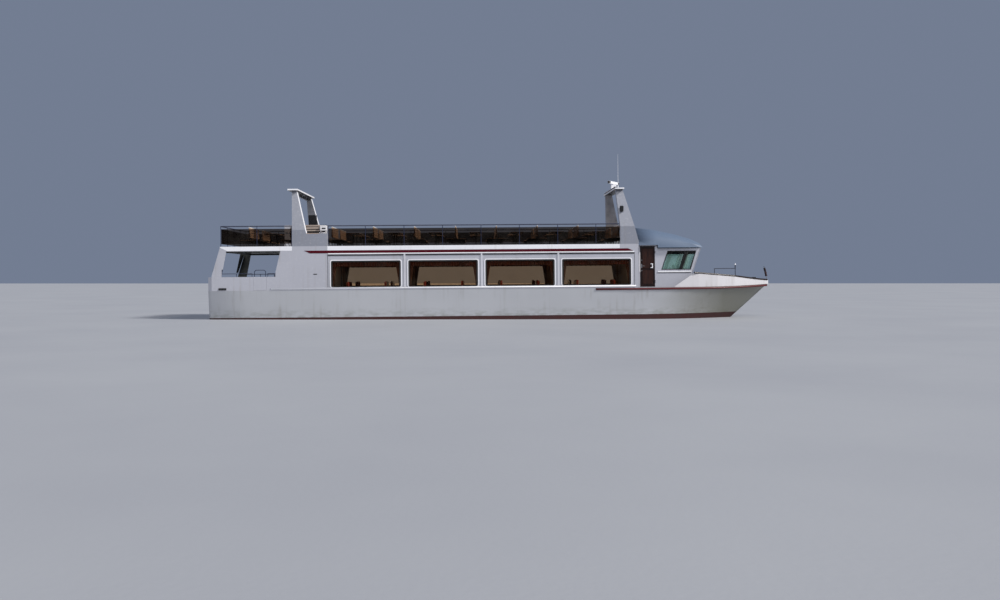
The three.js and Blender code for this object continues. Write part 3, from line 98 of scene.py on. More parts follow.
class Finish:
    """A finish as it is mixed: a Principled shader, the nodes that feed it, and its slot."""

    def __init__(self, name, slot=None):
        self.slot = slot
        self.material = bpy.data.materials.new(name)
        self.material.use_nodes = True
        self.tree = self.material.node_tree
        self.shader = self.tree.nodes["Principled BSDF"]
        self.place = self.node("ShaderNodeTexCoord", output="Object")
        self.x, self.y, self.z = self.parts(self.place)

    def join(self, value, socket):
        if isinstance(value, Wire):
            self.tree.links.new(value.socket, socket)
        else:
            socket.default_value = value

    def node(self, kind, settings=None, values=None, output=0):
        added = self.tree.nodes.new(kind)
        for name, value in (settings or {}).items():
            setattr(added, name, value)
        for name, value in (values or {}).items():
            self.join(value, added.inputs[name])
        return Wire(self, added.outputs[output])

    def parts(self, vector):
        apart = self.node("ShaderNodeSeparateXYZ", values={"Vector": vector}).socket.node
        return [Wire(self, out) for out in apart.outputs]

    def facing(self):
        """How far the surface faces forward, to port and up."""
        return self.parts(self.node("ShaderNodeNewGeometry", output="Normal"))

    def noise(self, scale, detail=3, stretch=(1, 1, 1)):
        spread = self.node("ShaderNodeMapping", values={"Vector": self.place, "Scale": stretch})
        values = {"Vector": spread, "Scale": scale, "Detail": detail}
        return self.node("ShaderNodeTexNoise", values=values)

    def mix(self, share, first, second):
        colours = {0: share, 6: first, 7: second}
        return self.node("ShaderNodeMix", {"data_type": "RGBA"}, colours, output=2)

    def patchy(self, first, second, scale, detail=3, low=0.35, high=0.7, most=1):
        """A colour with soft patches of another, which hides it by at most a share."""
        return self.mix(self.noise(scale, detail).within(low, high) * most, first, second)

    def bump(self, height, distance):
        return self.node("ShaderNodeBump", values={"Height": height, "Distance": distance})

    def surface(self, **values):
        for name, value in values.items():
            self.join(value, self.shader.inputs[name.replace("_", " ")])
        return self

    def see_through(self, hides, tint):
        """Lets what is behind show, in the tint that the film gives it, but for the share it hides."""
        film = self.node("ShaderNodeBsdfTransparent", values={"Color": tint})
        shell = Wire(self, self.shader.outputs["BSDF"])
        both_layers = self.node("ShaderNodeMixShader", values={0: hides, 1: film, 2: shell})
        self.join(both_layers, self.tree.nodes["Material Output"].inputs["Surface"])
        return self

    def cover(self, *nodes):
        """Puts this finish on built pieces, named as they were built."""
        for name in nodes:
            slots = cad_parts[name].data.materials
            slots.clear()
            slots.append(self.material)


def srgb(*channels):
    """A colour as it is read off a paint chart, 0 to 255, for the shader."""
    linear = [((c / 255 + 0.055) / 1.055) ** 2.4 if c > 10 else c / 255 / 12.92 for c in channels]
    return (*linear, 1)


floor_cover = Finish("floor_cover")
floor_cover.surface(
    Base_Color=floor_cover.patchy(srgb(164, 166, 170), srgb(158, 160, 165), 0.15),
    Roughness=floor_cover.noise(1.5, 3) * 0.1 + 0.55,
    Normal=floor_cover.bump(floor_cover.noise(12, 2), 0.002),
)
mesh = bmesh.new()
bmesh.ops.create_grid(mesh, x_segments=1, y_segments=1, size=FLOOR_HALF)
lean = Vector((0, 0, 1)).rotation_difference(level).to_matrix().to_4x4()
bmesh.ops.transform(mesh, matrix=Matrix.Translation((0, 0, BOW_UP * EYE.x)) @ lean, verts=mesh.verts)
floor = bpy.data.objects.new("floor", bpy.data.meshes.new("floor"))
mesh.to_mesh(floor.data)
mesh.free()
floor.data.materials.append(floor_cover.material)
bpy.context.scene.collection.objects.link(floor)

for name, light in [("key", KEY), ("fill", FILL)]:
    lamp = bpy.data.objects.new(name, bpy.data.lights.new(name, "SUN"))
    lamp.data.energy = light.energy
    lamp.data.angle = light.angle
    lamp.data.color = light.colour
    lamp.rotation_mode = "QUATERNION"
    lamp.rotation_quaternion = Vector(light.toward).to_track_quat("Z", "Y")
    bpy.context.scene.collection.objects.link(lamp)

surround = bpy.data.worlds.new("surround")
surround.use_nodes = True
surround.node_tree.nodes["Background"].inputs["Color"].default_value = SURROUND
bpy.context.scene.world = surround

# The hull is welded steel plate with a raked stem. It is sprayed white down to a dark red
# boot-top just over the water, and its decks are rolled grey with grit for a sure foot.
BOOT_TOP_Z = 0.18
LOW_BAND_TOP_Z = 0.62
DECK_ABOVE = 0.6
FLARE_SHADE_X = (8.2, 12.2)
PLATE = 2.95
FLAT = 0.7
RAIN_RUN = (5.5, 5.5, 0.22)
HULL_WHITE = srgb(180, 182, 186)
FLARE_SHADE_GREY = srgb(126, 126, 117)
DECK_GREY = srgb(112, 116, 118)
BOTTOM_RED = srgb(60, 18, 16)


def made(name, mesh, finish, body="ferry", smooth=False):
    """Makes a finished bmesh a piece of the boat, with its finish, and lets it ride."""
    bmesh.ops.recalc_face_normals(mesh, faces=mesh.faces)
    data = bpy.data.meshes.new(name)
    mesh.to_mesh(data)
    mesh.free()
    data.materials.append(finish.material)
    if smooth:
        data.shade_smooth()
    piece = bpy.data.objects.new(name, data)
    bpy.context.scene.collection.objects.link(piece)
    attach(piece, body)
    return piece


def faired(node, finish, crease=28, body="ferry"):
    """Takes a built piece's place with its own skin, whose faces are joined and shade as one."""
    skin = bmesh.new()
    skin.from_mesh(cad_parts[node].data)
    bmesh.ops.remove_doubles(skin, verts=skin.verts, dist=0.0002)
    piece = made(f"{node}_skin", skin, finish, body, smooth=True)
    piece.data.set_sharp_from_angle(angle=math.radians(crease))
    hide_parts(node)


def darker(colour, share):
    return [channel * share for channel in colour[:3]] + [1]


def weathered(finish, colour, streak_colour, streaks):
    """A paint's colour with broad fading and rain streaks that run down the plates."""
    faded = finish.patchy(colour, darker(colour, 0.93), 0.45, 2)
    run = finish.noise(1.0, 4, RAIN_RUN).within(0.54, 0.78) * finish.noise(0.9, 2).within(0.4, 0.65)
    return finish.mix(run * streaks, faded, streak_colour)


def plate_joints(finish, half):
    """Lines where the plates are butt welded; half is a line's half width as a share of a plate."""
    return abs((finish.x / PLATE) % 1 - 0.5) < half


hull_paint = Finish("hull_paint", "hull_white")
deck = (hull_paint.facing()[2] > FLAT) * (hull_paint.z > DECK_ABOVE)
below = hull_paint.noise(2.2, 2) * 0.012 + hull_paint.z < BOOT_TOP_Z
# Just above the boot-top the white is darkened towards green-grey in upright streaks, most at the boot-top
# and less upwards.
band_streaks = hull_paint.noise(3.0, 4, (1, 1, 3)).within(0.4, 0.7)
low_band = band_streaks * (1 - hull_paint.z.within(BOOT_TOP_Z, LOW_BAND_TOP_Z)) * 0.5
# Under the strake the bow's flare turns its face down, away from the light, so the white is painted grey
# along the flare there: painted shade.
flare_shade = (hull_paint.noise(0.7, 2) * 1.5 + hull_paint.x).within(*FLARE_SHADE_X)
white = weathered(hull_paint, HULL_WHITE, srgb(122, 114, 100), 0.4)
white = hull_paint.mix(low_band, hull_paint.mix(flare_shade, white, FLARE_SHADE_GREY), srgb(106, 108, 92))
red = hull_paint.patchy(BOTTOM_RED, srgb(52, 26, 26), 2.5, 5, most=0.6)
deck_colour = hull_paint.patchy(DECK_GREY, srgb(88, 92, 94), 1.6, 4, high=0.75, most=0.5)
pillow = hull_paint.noise(1.4, 1) * 0.35 + hull_paint.noise(85, 2) * 0.02
relief = pillow + plate_joints(hull_paint, 0.0025) * 0.3 + deck * hull_paint.noise(420, 1) * 0.25
hull_paint.surface(
    Base_Color=hull_paint.mix(deck, hull_paint.mix(below, white, red), deck_colour),
    Roughness=hull_paint.noise(3, 3) * 0.16 + 0.26 + below * 0.3 + deck * 0.35,
    Normal=hull_paint.bump(relief, 0.006),
)
faired("hull", hull_paint)

# The house is steel plate too: bulwarks, aft side frames, saloon walls and the wheelhouse. Its
# plates are brushed in pale grey and its trim in white. Some faces are painted for the light that
# falls on them: dark grey as painted shade inside the frames and under the arch roofs, a lighter
# grey as painted light inside the masts, and white as painted highlight on faces turned forward or
# up on the masts and the wheelhouse front.
SIDES = {"starboard": -1, "port": 1}
PLATE_GREY = srgb(180, 181, 189)
MAST_GREY = srgb(141, 144, 154)
TRIM_WHITE = srgb(243, 243, 246)
INBOARD_SHADE_GREY = srgb(74, 76, 68)
RAIL_BLUE = srgb(30, 37, 62)
STREAK = srgb(132, 122, 104)
GATE_RAILS = Sizes(aft=-13.46, fwd=-10.86, foot=2.172, head=2.54)


def both(*pieces):
    """The names of pieces that are built once on each side."""
    return [f"{piece}_{side}" for piece in pieces for side in SIDES]


def white_paint(name, colour, streaks=0.4, slot="white_paint", inside=None, painted_highlight=None, gate_rails=False):
    """Faded paint with rain streaks and weld lines. Faces turned inboard or down can take another colour,
    painted light and shade for how the light falls there, and faces turned forward or up a painted
    highlight.
    """
    paint = Finish(name, slot)
    shade = weathered(paint, colour, STREAK, streaks)
    chalk = paint.noise(9, 4).within(0.55, 0.8) * 0.2
    shade = paint.mix(chalk, shade, srgb(214, 214, 216))
    relief = paint.noise(1.9, 1) * 0.4 + paint.noise(110, 2) * 0.02 + plate_joints(paint, 0.002) * 0.2
    ahead, across, up = paint.facing()
    # Faces turned inboard or down take the inside colour, painted light and shade: darker in the frames and
    # under the arch roofs, lighter inside the masts.
    if inside:
        inboard = (across * paint.y < -0.2) | (up < -FLAT)
        shade = paint.mix(inboard, shade, paint.patchy(inside, darker(inside, 0.6), 2.5, 5))
    # Faces turned forward, towards the key light, or up are painted white: a painted highlight.
    if painted_highlight:
        shade = paint.mix((ahead > 0.6) | (up > FLAT), shade, painted_highlight)
    if gate_rails:
        high = (paint.z > GATE_RAILS.foot) * (paint.z < GATE_RAILS.head)
        along = (paint.x > GATE_RAILS.aft) * (paint.x < GATE_RAILS.fwd)
        shade = paint.mix(high * along, shade, RAIL_BLUE)
    return paint.surface(
        Base_Color=shade,
        Roughness=paint.noise(4, 3) * 0.2 + 0.28,
        Normal=paint.bump(relief, 0.005),
    )


# The side frames' inboard faces and undersides are painted dark grey as painted shade.
white_paint("side_paint", PLATE_GREY, inside=INBOARD_SHADE_GREY, gate_rails=True).cover(
    *both("aft_side", "bulwark_gate"), "stern_bulwark")
white_paint("house_paint", PLATE_GREY).cover(
    *both("saloon_side", "wheelhouse_side"), "saloon_aft_bulkhead", "saloon_front_bulkhead",
    "companionway_stairs")
# The wheelhouse front's faces turned forward or up are painted white as a painted highlight.
white_paint("front_paint", PLATE_GREY, painted_highlight=TRIM_WHITE).cover("wheelhouse_front")
# The mast legs' inboard faces and undersides are painted a lighter grey as painted light, and their faces
# turned forward or up white as a painted highlight.
white_paint("mast_paint", MAST_GREY, inside=srgb(152, 155, 162), painted_highlight=TRIM_WHITE).cover(
    *both("aft_arch_leg", "forward_arch_leg"))
# The arch roofs' undersides and inboard faces are painted near-black as painted shade.
white_paint("arch_roof_paint", TRIM_WHITE, inside=srgb(34, 35, 38)).cover(
    "aft_arch_roof", "forward_arch_roof")
bright_paint = white_paint("bright_paint", TRIM_WHITE, 0.25)
bright_paint.cover("radar_pedestal", "radar_scanner", "whip_antenna", "foredeck_hatch")
faired("bow_bulwark", white_paint("bulwark_paint", srgb(212, 210, 212)))

# The upper deck is the saloon's roof. Its turned-up edge is bright white all round, and inside
# the edge people walk on a grey covering with a rubbed, gritty face.
DECK_FLOOR_Z = 3.56
PLAIN_EDGES = [(-10.05, -8.33), (6.0, 7.0)]
deck_paint = Finish("deck_paint")
up = deck_paint.facing()[2]
floor_area = (up > FLAT) * (deck_paint.z < DECK_FLOOR_Z)
plain = sum((deck_paint.x > aft) * (deck_paint.x < fwd) for aft, fwd in PLAIN_EDGES) * (up < FLAT)
white = weathered(deck_paint, TRIM_WHITE, srgb(160, 150, 132), 0.3)
white = deck_paint.mix(plain, white, weathered(deck_paint, PLATE_GREY, STREAK, 0.4))
# Faces turned down, under the deck, are painted near-black: painted shade.
white = deck_paint.mix(up < -FLAT, white, deck_paint.patchy(srgb(36, 38, 38), srgb(22, 24, 24), 2.5, 5))
grey = deck_paint.patchy(srgb(96, 100, 103), srgb(126, 128, 126), 0.9, 5)
relief = deck_paint.noise(2, 1) * 0.3 + floor_area * deck_paint.noise(380, 1) * 0.3
deck_paint.surface(
    Base_Color=deck_paint.mix(floor_area, white, grey),
    Roughness=deck_paint.noise(5, 3) * 0.2 + 0.28 + floor_area * 0.35,
    Normal=deck_paint.bump(relief, 0.005),
).cover("upper_deck")


# A crimson stripe runs along each side of the deck's edge, and a dark red strake guards the
# foredeck's side. Both are brushed on, so the red is a little uneven and chalky.
def red_paint(name, colour, chalky, shine):
    paint = Finish(name, "crimson_paint")
    brushed = paint.noise(1.0, 4, (3, 3, 60)).within(0.3, 0.75)
    return paint.surface(
        Base_Color=paint.mix(brushed * 0.5, colour, chalky),
        Roughness=paint.noise(6, 3) * 0.2 + 0.3,
        Normal=paint.bump(brushed * 0.2 + paint.noise(120, 2) * 0.05, 0.002),
        Specular_IOR_Level=shine,
    )


red_paint("stripe_paint", srgb(74, 4, 20), srgb(88, 14, 30), 0.12).cover(*both("side_stripe"))
strake_paint = red_paint("strake_paint", srgb(92, 30, 32), srgb(74, 32, 34), 0.4)
for side in SIDES:
    faired(f"bow_strake_{side}", strake_paint, 50)
    faired(f"side_moulding_{side}", bright_paint, 50)

# The sun deck's rails are steel tube in dark blue, and below them stand panes of smoked
# acrylic, which are grey-brown where the sky comes through and have fine scuffs.
rail_paint = Finish("rail_paint")
rail_paint.surface(
    Base_Color=rail_paint.patchy(RAIL_BLUE, srgb(44, 49, 70), 14, low=0.5, high=0.8),
    Roughness=rail_paint.noise(20, 2) * 0.2 + 0.25,
    Normal=rail_paint.bump(rail_paint.noise(90, 2), 0.0006),
).cover(*both("sun_deck_rail"), "stern_rail")


def tinted_pane(name, tint, haze, hides, dusty):
    """A pane of see-through sheet: haze is what its faces show, most where dust has dried."""
    pane = Finish(name, "dark_screen")
    dried = pane.noise(2.2, 5).within(0.45, 0.8)
    pane.surface(
        Base_Color=pane.mix(dried * 0.4, haze, srgb(128, 122, 112)),
        Roughness=dried * 0.12 + 0.04,
        Normal=pane.bump(pane.noise(0.8, 1), 0.003),
        Specular_IOR_Level=0.3,
    )
    return pane.see_through(dried * dusty + hides, tint)


tinted_pane("smoked_acrylic", (0.46, 0.41, 0.37, 1), srgb(16, 14, 12), 0.10, 0.02).cover(
    *both("sun_deck_screen"), "stern_screen")

# The saloon's panes are bronze glass and the wheelhouse's are pale green. Both are toughened
# sheet glass bedded in rubber.
tinted_pane("bronze_glass", (0.93, 0.82, 0.69, 1), srgb(38, 22, 14), 0.07, 0.04).cover(
    *both("saloon_glazing"))
tinted_pane("green_glass", (0.95, 1.0, 0.97, 1), srgb(142, 182, 172), 0.27, 0.05).cover(
    *both("wheelhouse_side_glazing"), "wheelhouse_front_glazing")

# The wheelhouse roof is a domed plate of rolled steel in blue-grey, smooth and a little dull
# from the weather.
roof_paint = Finish("roof_paint", "roof_paint")
roof_paint.surface(
    Base_Color=weathered(roof_paint, srgb(94, 110, 132), srgb(126, 138, 154), 0.35),
    Roughness=roof_paint.noise(3, 3) * 0.14 + 0.5,
    Normal=roof_paint.bump(roof_paint.noise(1.5, 1) * 0.6 + roof_paint.noise(100, 2) * 0.02, 0.005),
)
faired("wheelhouse_roof", roof_paint)


# The doors are varnished hardwood, so dark that they look black-brown from a distance. Stiles
# and rails are glued up round their panels.
def varnished_wood(name, slot, dark, light, grain=(26, 26, 1.3)):
    """Timber with long grain along the axis whose stretch is least."""
    wood = Finish(name, slot)
    lines = wood.noise(1.4, 6, grain)
    pores = wood.noise(9, 3, grain).within(0.55, 0.75)
    return wood.surface(
        Base_Color=wood.mix(pores * 0.5, wood.mix(lines.within(0.3, 0.7), dark, light), dark),
        Roughness=pores * 0.2 + 0.26,
        Coat_Weight=0.1,
        Normal=wood.bump(lines * 0.5 + pores * 0.5, 0.0008),
        Specular_IOR_Level=0.25,
    )


door_wood = varnished_wood("door_wood", "door_paint", srgb(20, 10, 8), srgb(40, 20, 15))
door_wood.cover(*both("wheelhouse_door"), "saloon_door")


# Bare metal: stainless steel rails forward, a galvanised windlass and the propeller, which is
# cast in bronze and filed fair.
def bare_metal(name, colour, dull, roughness, marks, slot="steel"):
    metal = Finish(name, slot)
    spots = metal.noise(26, 4).within(0.45, 0.75)
    return metal.surface(
        Base_Color=metal.mix(spots * 0.5, colour, dull),
        Metallic=1 - spots * 0.35,
        Roughness=spots * 0.25 + roughness,
        Normal=metal.bump(metal.noise(70, 3), marks),
    )


bare_metal("stainless_steel", srgb(178, 180, 184), srgb(128, 128, 130), 0.28, 0.0004).cover("jackstaff")
bare_metal("dull_rail", srgb(92, 96, 108), srgb(70, 72, 80), 0.45, 0.0004).cover("bow_rail")
bare_metal("galvanised_steel", srgb(140, 144, 148), srgb(98, 102, 106), 0.42, 0.001).cover("windlass")
cast_bronze = bare_metal("cast_bronze", srgb(170, 124, 62), srgb(92, 104, 70), 0.34, 0.001, "bronze")
faired("propeller", cast_bronze, 40, "propeller")

# The rudder is a hollow plate blade, and wears the bottom's red antifouling, as everything
# else under water does.
rudder_paint = Finish("rudder_paint")
rudder_paint.surface(
    Base_Color=rudder_paint.patchy(BOTTOM_RED, srgb(50, 28, 28), 4, 5),
    Roughness=rudder_paint.noise(6, 3) * 0.2 + 0.55,
    Normal=rudder_paint.bump(rudder_paint.noise(30, 3), 0.002),
).cover("rudder")


# The helm desk and the bollards are black: the desk a leathery moulded shell, the bollards
# cast iron under thick paint.
def black_shell(name, colour, grain, roughness):
    shell = Finish(name, "black_fitting")
    return shell.surface(
        Base_Color=shell.patchy(colour, srgb(52, 52, 54), 8, low=0.5, high=0.8),
        Roughness=shell.noise(12, 2) * 0.2 + roughness,
        Normal=shell.bump(shell.noise(grain, 2), 0.0008),
    )


black_shell("helm_shell", srgb(26, 27, 29), 420, 0.42).cover("helm_console")
bollard_paint = black_shell("bollard_paint", srgb(24, 24, 25), 60, 0.3)
bollard_paint.cover(*both("bow_bollard"))

# Each saloon window has a raised frame of white-painted alloy, screwed round its opening, and a
# black rubber gasket between the frame and the glass.
WALL_OUT = 2.54
BOND = 0.0005
WINDOW = Sizes(first=-8.13, pitch=3.77, width=3.33, sill=1.635, head=2.895, corner=0.06)
WINDOW_STARTS = [WINDOW.first + n * WINDOW.pitch for n in range(4)]
FOOT_SHARE = 0.12
BROW_SHARE = 0.78
# Columns: how far each corner of the bar lies out from the opening, and out from the wall.
FRAME_BAR = [(0.095, 0), (0.085, 0.02), (0.042, 0.018), (0.036, 0.004)]
GASKET_BAR = [(0.034, 0.0024), (0.034, 0.011), (-0.035, 0.006), (-0.035, -0.006), (-0.001, -0.003),
              (-0.001, 0.0008)]


def rounded_loop(mesh, x0, x1, z0, z1, corner, y):
    """The edges of a rounded rectangle that stands along the boat."""
    stand = Matrix.Translation(((x0 + x1) / 2, y, (z0 + z1) / 2)) @ Matrix.Rotation(math.pi / 2, 4, "X")
    size = Matrix.Diagonal(((x1 - x0) / 2, (z1 - z0) / 2, 1, 1))
    grid = bmesh.ops.create_grid(mesh, x_segments=1, y_segments=1, size=1, matrix=stand @ size)
    rounded = bmesh.ops.bevel(mesh, geom=grid["verts"], offset=corner, affect="VERTICES", segments=5,
                              profile=0.5, material=-1)
    face = next(f for f in mesh.faces if rounded["verts"][0] in f.verts)
    edges = list(face.edges)
    bmesh.ops.delete(mesh, geom=[face], context="FACES_ONLY")
    return edges


def joined_loops(mesh, loops):
    """Closes a bar from its loops, no two of them in one plane, the last bridged to the first."""
    for first, second in zip(loops, loops[1:] + loops[:1]):
        bmesh.ops.bridge_loops(mesh, edges=first + second)


def framed(mesh, start, bar, sign):
    """A bar round one window, thinner along its foot and its head than at its ends."""
    loops = []
    for out, proud in bar:
        past, inside = max(out, 0), min(out, 0)
        loops.append(rounded_loop(
            mesh, start - out, start + WINDOW.width + out, WINDOW.sill - inside - past * FOOT_SHARE,
            WINDOW.head + inside + past * BROW_SHARE, WINDOW.corner + inside + past / 2,
            sign * (WALL_OUT + BOND + proud)))
    joined_loops(mesh, loops)


frame_paint = white_paint("frame_paint", srgb(238, 238, 241), 0.3)
gasket_rubber = Finish("gasket_rubber", "black_fitting")
gasket_rubber.surface(
    Base_Color=gasket_rubber.patchy(srgb(20, 20, 21), srgb(48, 46, 44), 9, low=0.5, high=0.8),
    Roughness=gasket_rubber.noise(30, 2) * 0.2 + 0.6,
    Normal=gasket_rubber.bump(gasket_rubber.noise(160, 2), 0.0005),
)
for side, sign in SIDES.items():
    frames = bmesh.new()
    gaskets = bmesh.new()
    for start in WINDOW_STARTS:
        framed(frames, start, FRAME_BAR, sign)
        framed(gaskets, start, GASKET_BAR, sign)
    made(f"window_frames_{side}", frames, frame_paint)
    made(f"window_gaskets_{side}", gaskets, gasket_rubber)

# Flat ribs cover the joints between the saloon's side plates. Thin dark strips run over the
# windows and up each end of the window field: they are painted shade, for the shadow lines round
# the field's edges. Above them a white half-round bead runs under the stripe. All are bonded on.
RIB_PLACES = [-4.58, -0.81, 2.96]
RIB_HALF = 0.042
FIELD = (-8.32, 6.72)
ENDS = sorted([FIELD[0] + 0.01, FIELD[1] - 0.01,
               *(x + way * (RIB_HALF + 0.001) for x in RIB_PLACES for way in (-1, 1))])
# Two corners of each block, with how far they stand out from the wall, and how far it is eased.
RIBS = [((x - RIB_HALF, 0, 1.625), (x + RIB_HALF, 0.024, 3.238), 0.008) for x in RIB_PLACES]
# Dark strips of painted shade along the window field's edges.
SHADOW_STRIPS = [((x - 0.008, 0, 1.625), (x + 0.008, 0.005, 3.238), 0) for x in FIELD]
SHADOW_STRIPS += [((aft, 0, 3.172), (fwd, 0.02, 3.222), 0.006) for aft, fwd in zip(ENDS[::2], ENDS[1::2])]
BEAD = [((ENDS[0], 0, 3.24), (ENDS[-1], 0.03, 3.296), 0.012)]


def span(low, high):
    """The size and the middle of what lies between two corners."""
    return [abs(b - a) for a, b in zip(low, high)], Vector([(a + b) / 2 for a, b in zip(low, high)])


def block(mesh, low, high, soften=0.0, turn=Matrix.Identity(4)):
    """A box between two corners, with its edges eased where soften is given."""
    size, middle = span(low, high)
    place = turn @ Matrix.Translation(middle) @ Matrix.Diagonal((*size, 1))
    cube = bmesh.ops.create_cube(mesh, size=1, matrix=place)
    if soften:
        edges = {edge for vert in cube["verts"] for edge in vert.link_edges}
        bmesh.ops.bevel(mesh, geom=list(edges), offset=soften, affect="EDGES", segments=1, profile=0.5,
                        material=-1)


def rod(mesh, start, end, radius, sides=10, end_radius=None):
    start, end = Vector(start), Vector(end)
    aim = (end - start).to_track_quat("Z", "Y").to_matrix().to_4x4()
    bmesh.ops.create_cone(mesh, cap_ends=True, segments=sides, radius1=radius,
                          radius2=radius if end_radius is None else end_radius,
                          depth=(end - start).length, matrix=Matrix.Translation((start + end) / 2) @ aim)


def outboard(sign, wall, point):
    """A point of one side, given how far it stands out from a wall's outer face."""
    x, out, z = point
    return x, sign * (wall + out), z


def fitting(name, finish, blocks=(), rods=(), body="ferry", signs=(1,), wall=0, turn=Matrix.Identity(4)):
    """A piece of blocks (two corners, and how far each is eased) and of rods (two ends, its radius
    and sides), on each side whose sign is given."""
    mesh = bmesh.new()
    for sign in signs:
        for low, high, soften in blocks:
            block(mesh, outboard(sign, wall, low), outboard(sign, wall, high), soften, turn)
        for start, end, *shape in rods:
            rod(mesh, outboard(sign, wall, start), outboard(sign, wall, end), *shape)
    return made(name, mesh, finish, body)


rib_paint = white_paint("rib_paint", srgb(206, 207, 213), 0.3)
for side, sign in SIDES.items():
    on_wall = {"signs": [sign], "wall": WALL_OUT + BOND}
    fitting(f"side_ribs_{side}", rib_paint, RIBS, **on_wall)
    fitting(f"shadow_strips_{side}", gasket_rubber, SHADOW_STRIPS, **on_wall)
    fitting(f"stripe_bead_{side}", frame_paint, BEAD, **on_wall)

# Dark red cloth hangs inside the saloon's windows: a short pleated valance along the head of
# each, and a pair of drapes drawn back to its ends. They hang from a track under the deck.
TRACK_Y = 2.445
DRAPE_BEHIND = 0.06
TIE_DOWN = 0.8
VALANCE = Sizes(top=2.93, foot=2.65, wave=0.13, deep=0.018, rows=5, past=0.05)
DRAPE = Sizes(top=2.92, foot=1.56, wave=0.085, deep=0.026, rows=14, past=0.02, wide=0.27, tied=0.10)
CLOTH_STEP = 8
HEM_WAVE = 0.006


def hung(name, x0, x1, y, cut, finish, tied_to=None):
    """A sheet gathered into even folds along its track, and drawn to one end where it is tied."""
    top, foot = cut.top, cut.foot
    folds = max(2, round((x1 - x0) / cut.wave))
    stand = Matrix.Translation(((x0 + x1) / 2, y, (top + foot) / 2)) @ Matrix.Rotation(math.pi / 2, 4, "X")
    size = Matrix.Diagonal(((x1 - x0) / 2, (top - foot) / 2, 1, 1))
    cloth = bmesh.new()
    bmesh.ops.create_grid(cloth, x_segments=folds * CLOTH_STEP, y_segments=cut.rows, size=1,
                          matrix=stand @ size)
    for vert in cloth.verts:
        along = (vert.co.x - x0) / (x1 - x0)
        down = (top - vert.co.z) / (top - foot)
        swing = math.sin(along * folds * 2 * math.pi + 0.5 * math.sin(7 * along + 3 * down))
        vert.co.y += cut.deep * (0.75 + 0.5 * down) * swing
        vert.co.z += HEM_WAVE * down * math.sin(along * folds * math.pi)
        if tied_to is not None:
            drawn = max(0, min(1, down / TIE_DOWN)) * (1 - cut.tied / (x1 - x0))
            vert.co.x = tied_to + (vert.co.x - tied_to) * (1 - drawn)
    first_row = [v.co for v in cloth.verts if v.co.z > top - 0.3 * (top - foot) / cut.rows]
    first_row.sort(key=lambda spot: spot.x)
    sheet = made(name, cloth, finish, smooth=True)


def woven(name, colour, worn, patches, low, count, axes, fuzz, smoothest, depth):
    """Cloth in patches of two colours, with crossing threads, so many to the metre along each axis."""
    cloth = Finish(name, "saloon_furniture")
    threads = sum(abs((getattr(cloth, axis) * count) % 1 - 0.5) for axis in axes)
    return cloth.surface(
        Base_Color=cloth.patchy(colour, worn, patches, low=low),
        Roughness=threads * fuzz + smoothest,
        Normal=cloth.bump(threads, depth),
    )


curtain_cloth = woven("curtain_cloth", srgb(48, 9, 9), srgb(66, 16, 14), 2.5, 0.35, 900, "xz",
                      0.1, 0.82, 0.0004)
curtain_cloth.surface(Sheen_Weight=0.3)
for side, sign in SIDES.items():
    for n, start in enumerate(WINDOW_STARTS, 1):
        end = start + WINDOW.width
        hung(f"valance_{side}_{n}", start - VALANCE.past, end + VALANCE.past, sign * TRACK_Y, VALANCE,
             curtain_cloth)
        aft, fwd = start - DRAPE.past, end + DRAPE.past
        for which, x0, held in (("aft", aft, aft), ("fwd", fwd - DRAPE.wide, fwd)):
            hung(f"drape_{side}_{n}_{which}", x0, x0 + DRAPE.wide, sign * (TRACK_Y - DRAPE_BEHIND),
                 DRAPE, curtain_cloth, held)

# The saloon's seats are benches back to back, with foam cushions in dark red cloth on plinths of
# varnished board. Between them stand tables with laminate tops on a turned steel foot.
BAYS = [start + WINDOW.width / 2 for start in WINDOW_STARTS]
SALOON_FLOOR = 0.9
BENCH_Y = (1.05, 2.33)
SEAT = Sizes(front=0.52, rear=0.98, board=1.20, top=1.355, back_thick=0.11, back_top=1.90,
             tuck=0.03, kick=0.02, panel=0.02, cap=0.04, side=0.01)
SALOON_TABLE = Sizes(half=0.32, top=1.65, thick=0.03, stem_y=1.55)
# Columns: foot and head above the floor, radius at the foot, sides and radius at the head.
TABLE_STEM = [(0.001, 0.03, 0.2, 24, 0.17),
              (0.03, SALOON_TABLE.top - SALOON_TABLE.thick - SALOON_FLOOR, 0.045, 16, 0.045)]


def cushion(mesh, low, high, crown):
    """Foam in a sewn cover: full in the middle, drawn in between its corners along the seams."""
    size, middle = span(low, high)
    before = len(mesh.verts)
    cube = bmesh.ops.create_cube(mesh, size=2)
    edges = list({edge for vert in cube["verts"] for edge in vert.link_edges})
    bmesh.ops.subdivide_edges(mesh, edges=edges, cuts=7, use_grid_fill=True)
    for vert in list(mesh.verts)[before:]:
        x, y, z = vert.co
        full = [1 - abs(x) ** 3, 1 - abs(y) ** 3, 1 - abs(z) ** 3]
        swell = Vector((x * full[1] * full[2], y * full[0] * full[2], z * full[0] * full[1]))
        eased = Vector((x, y, z)) * (1 - 0.06 * (abs(x) ** 6 + abs(y) ** 6 + abs(z) ** 6 - 1) / 2)
        for axis in range(3):
            half = size[axis] / 2 - crown
            vert.co[axis] = middle[axis] + eased[axis] * half + swell[axis] * crown


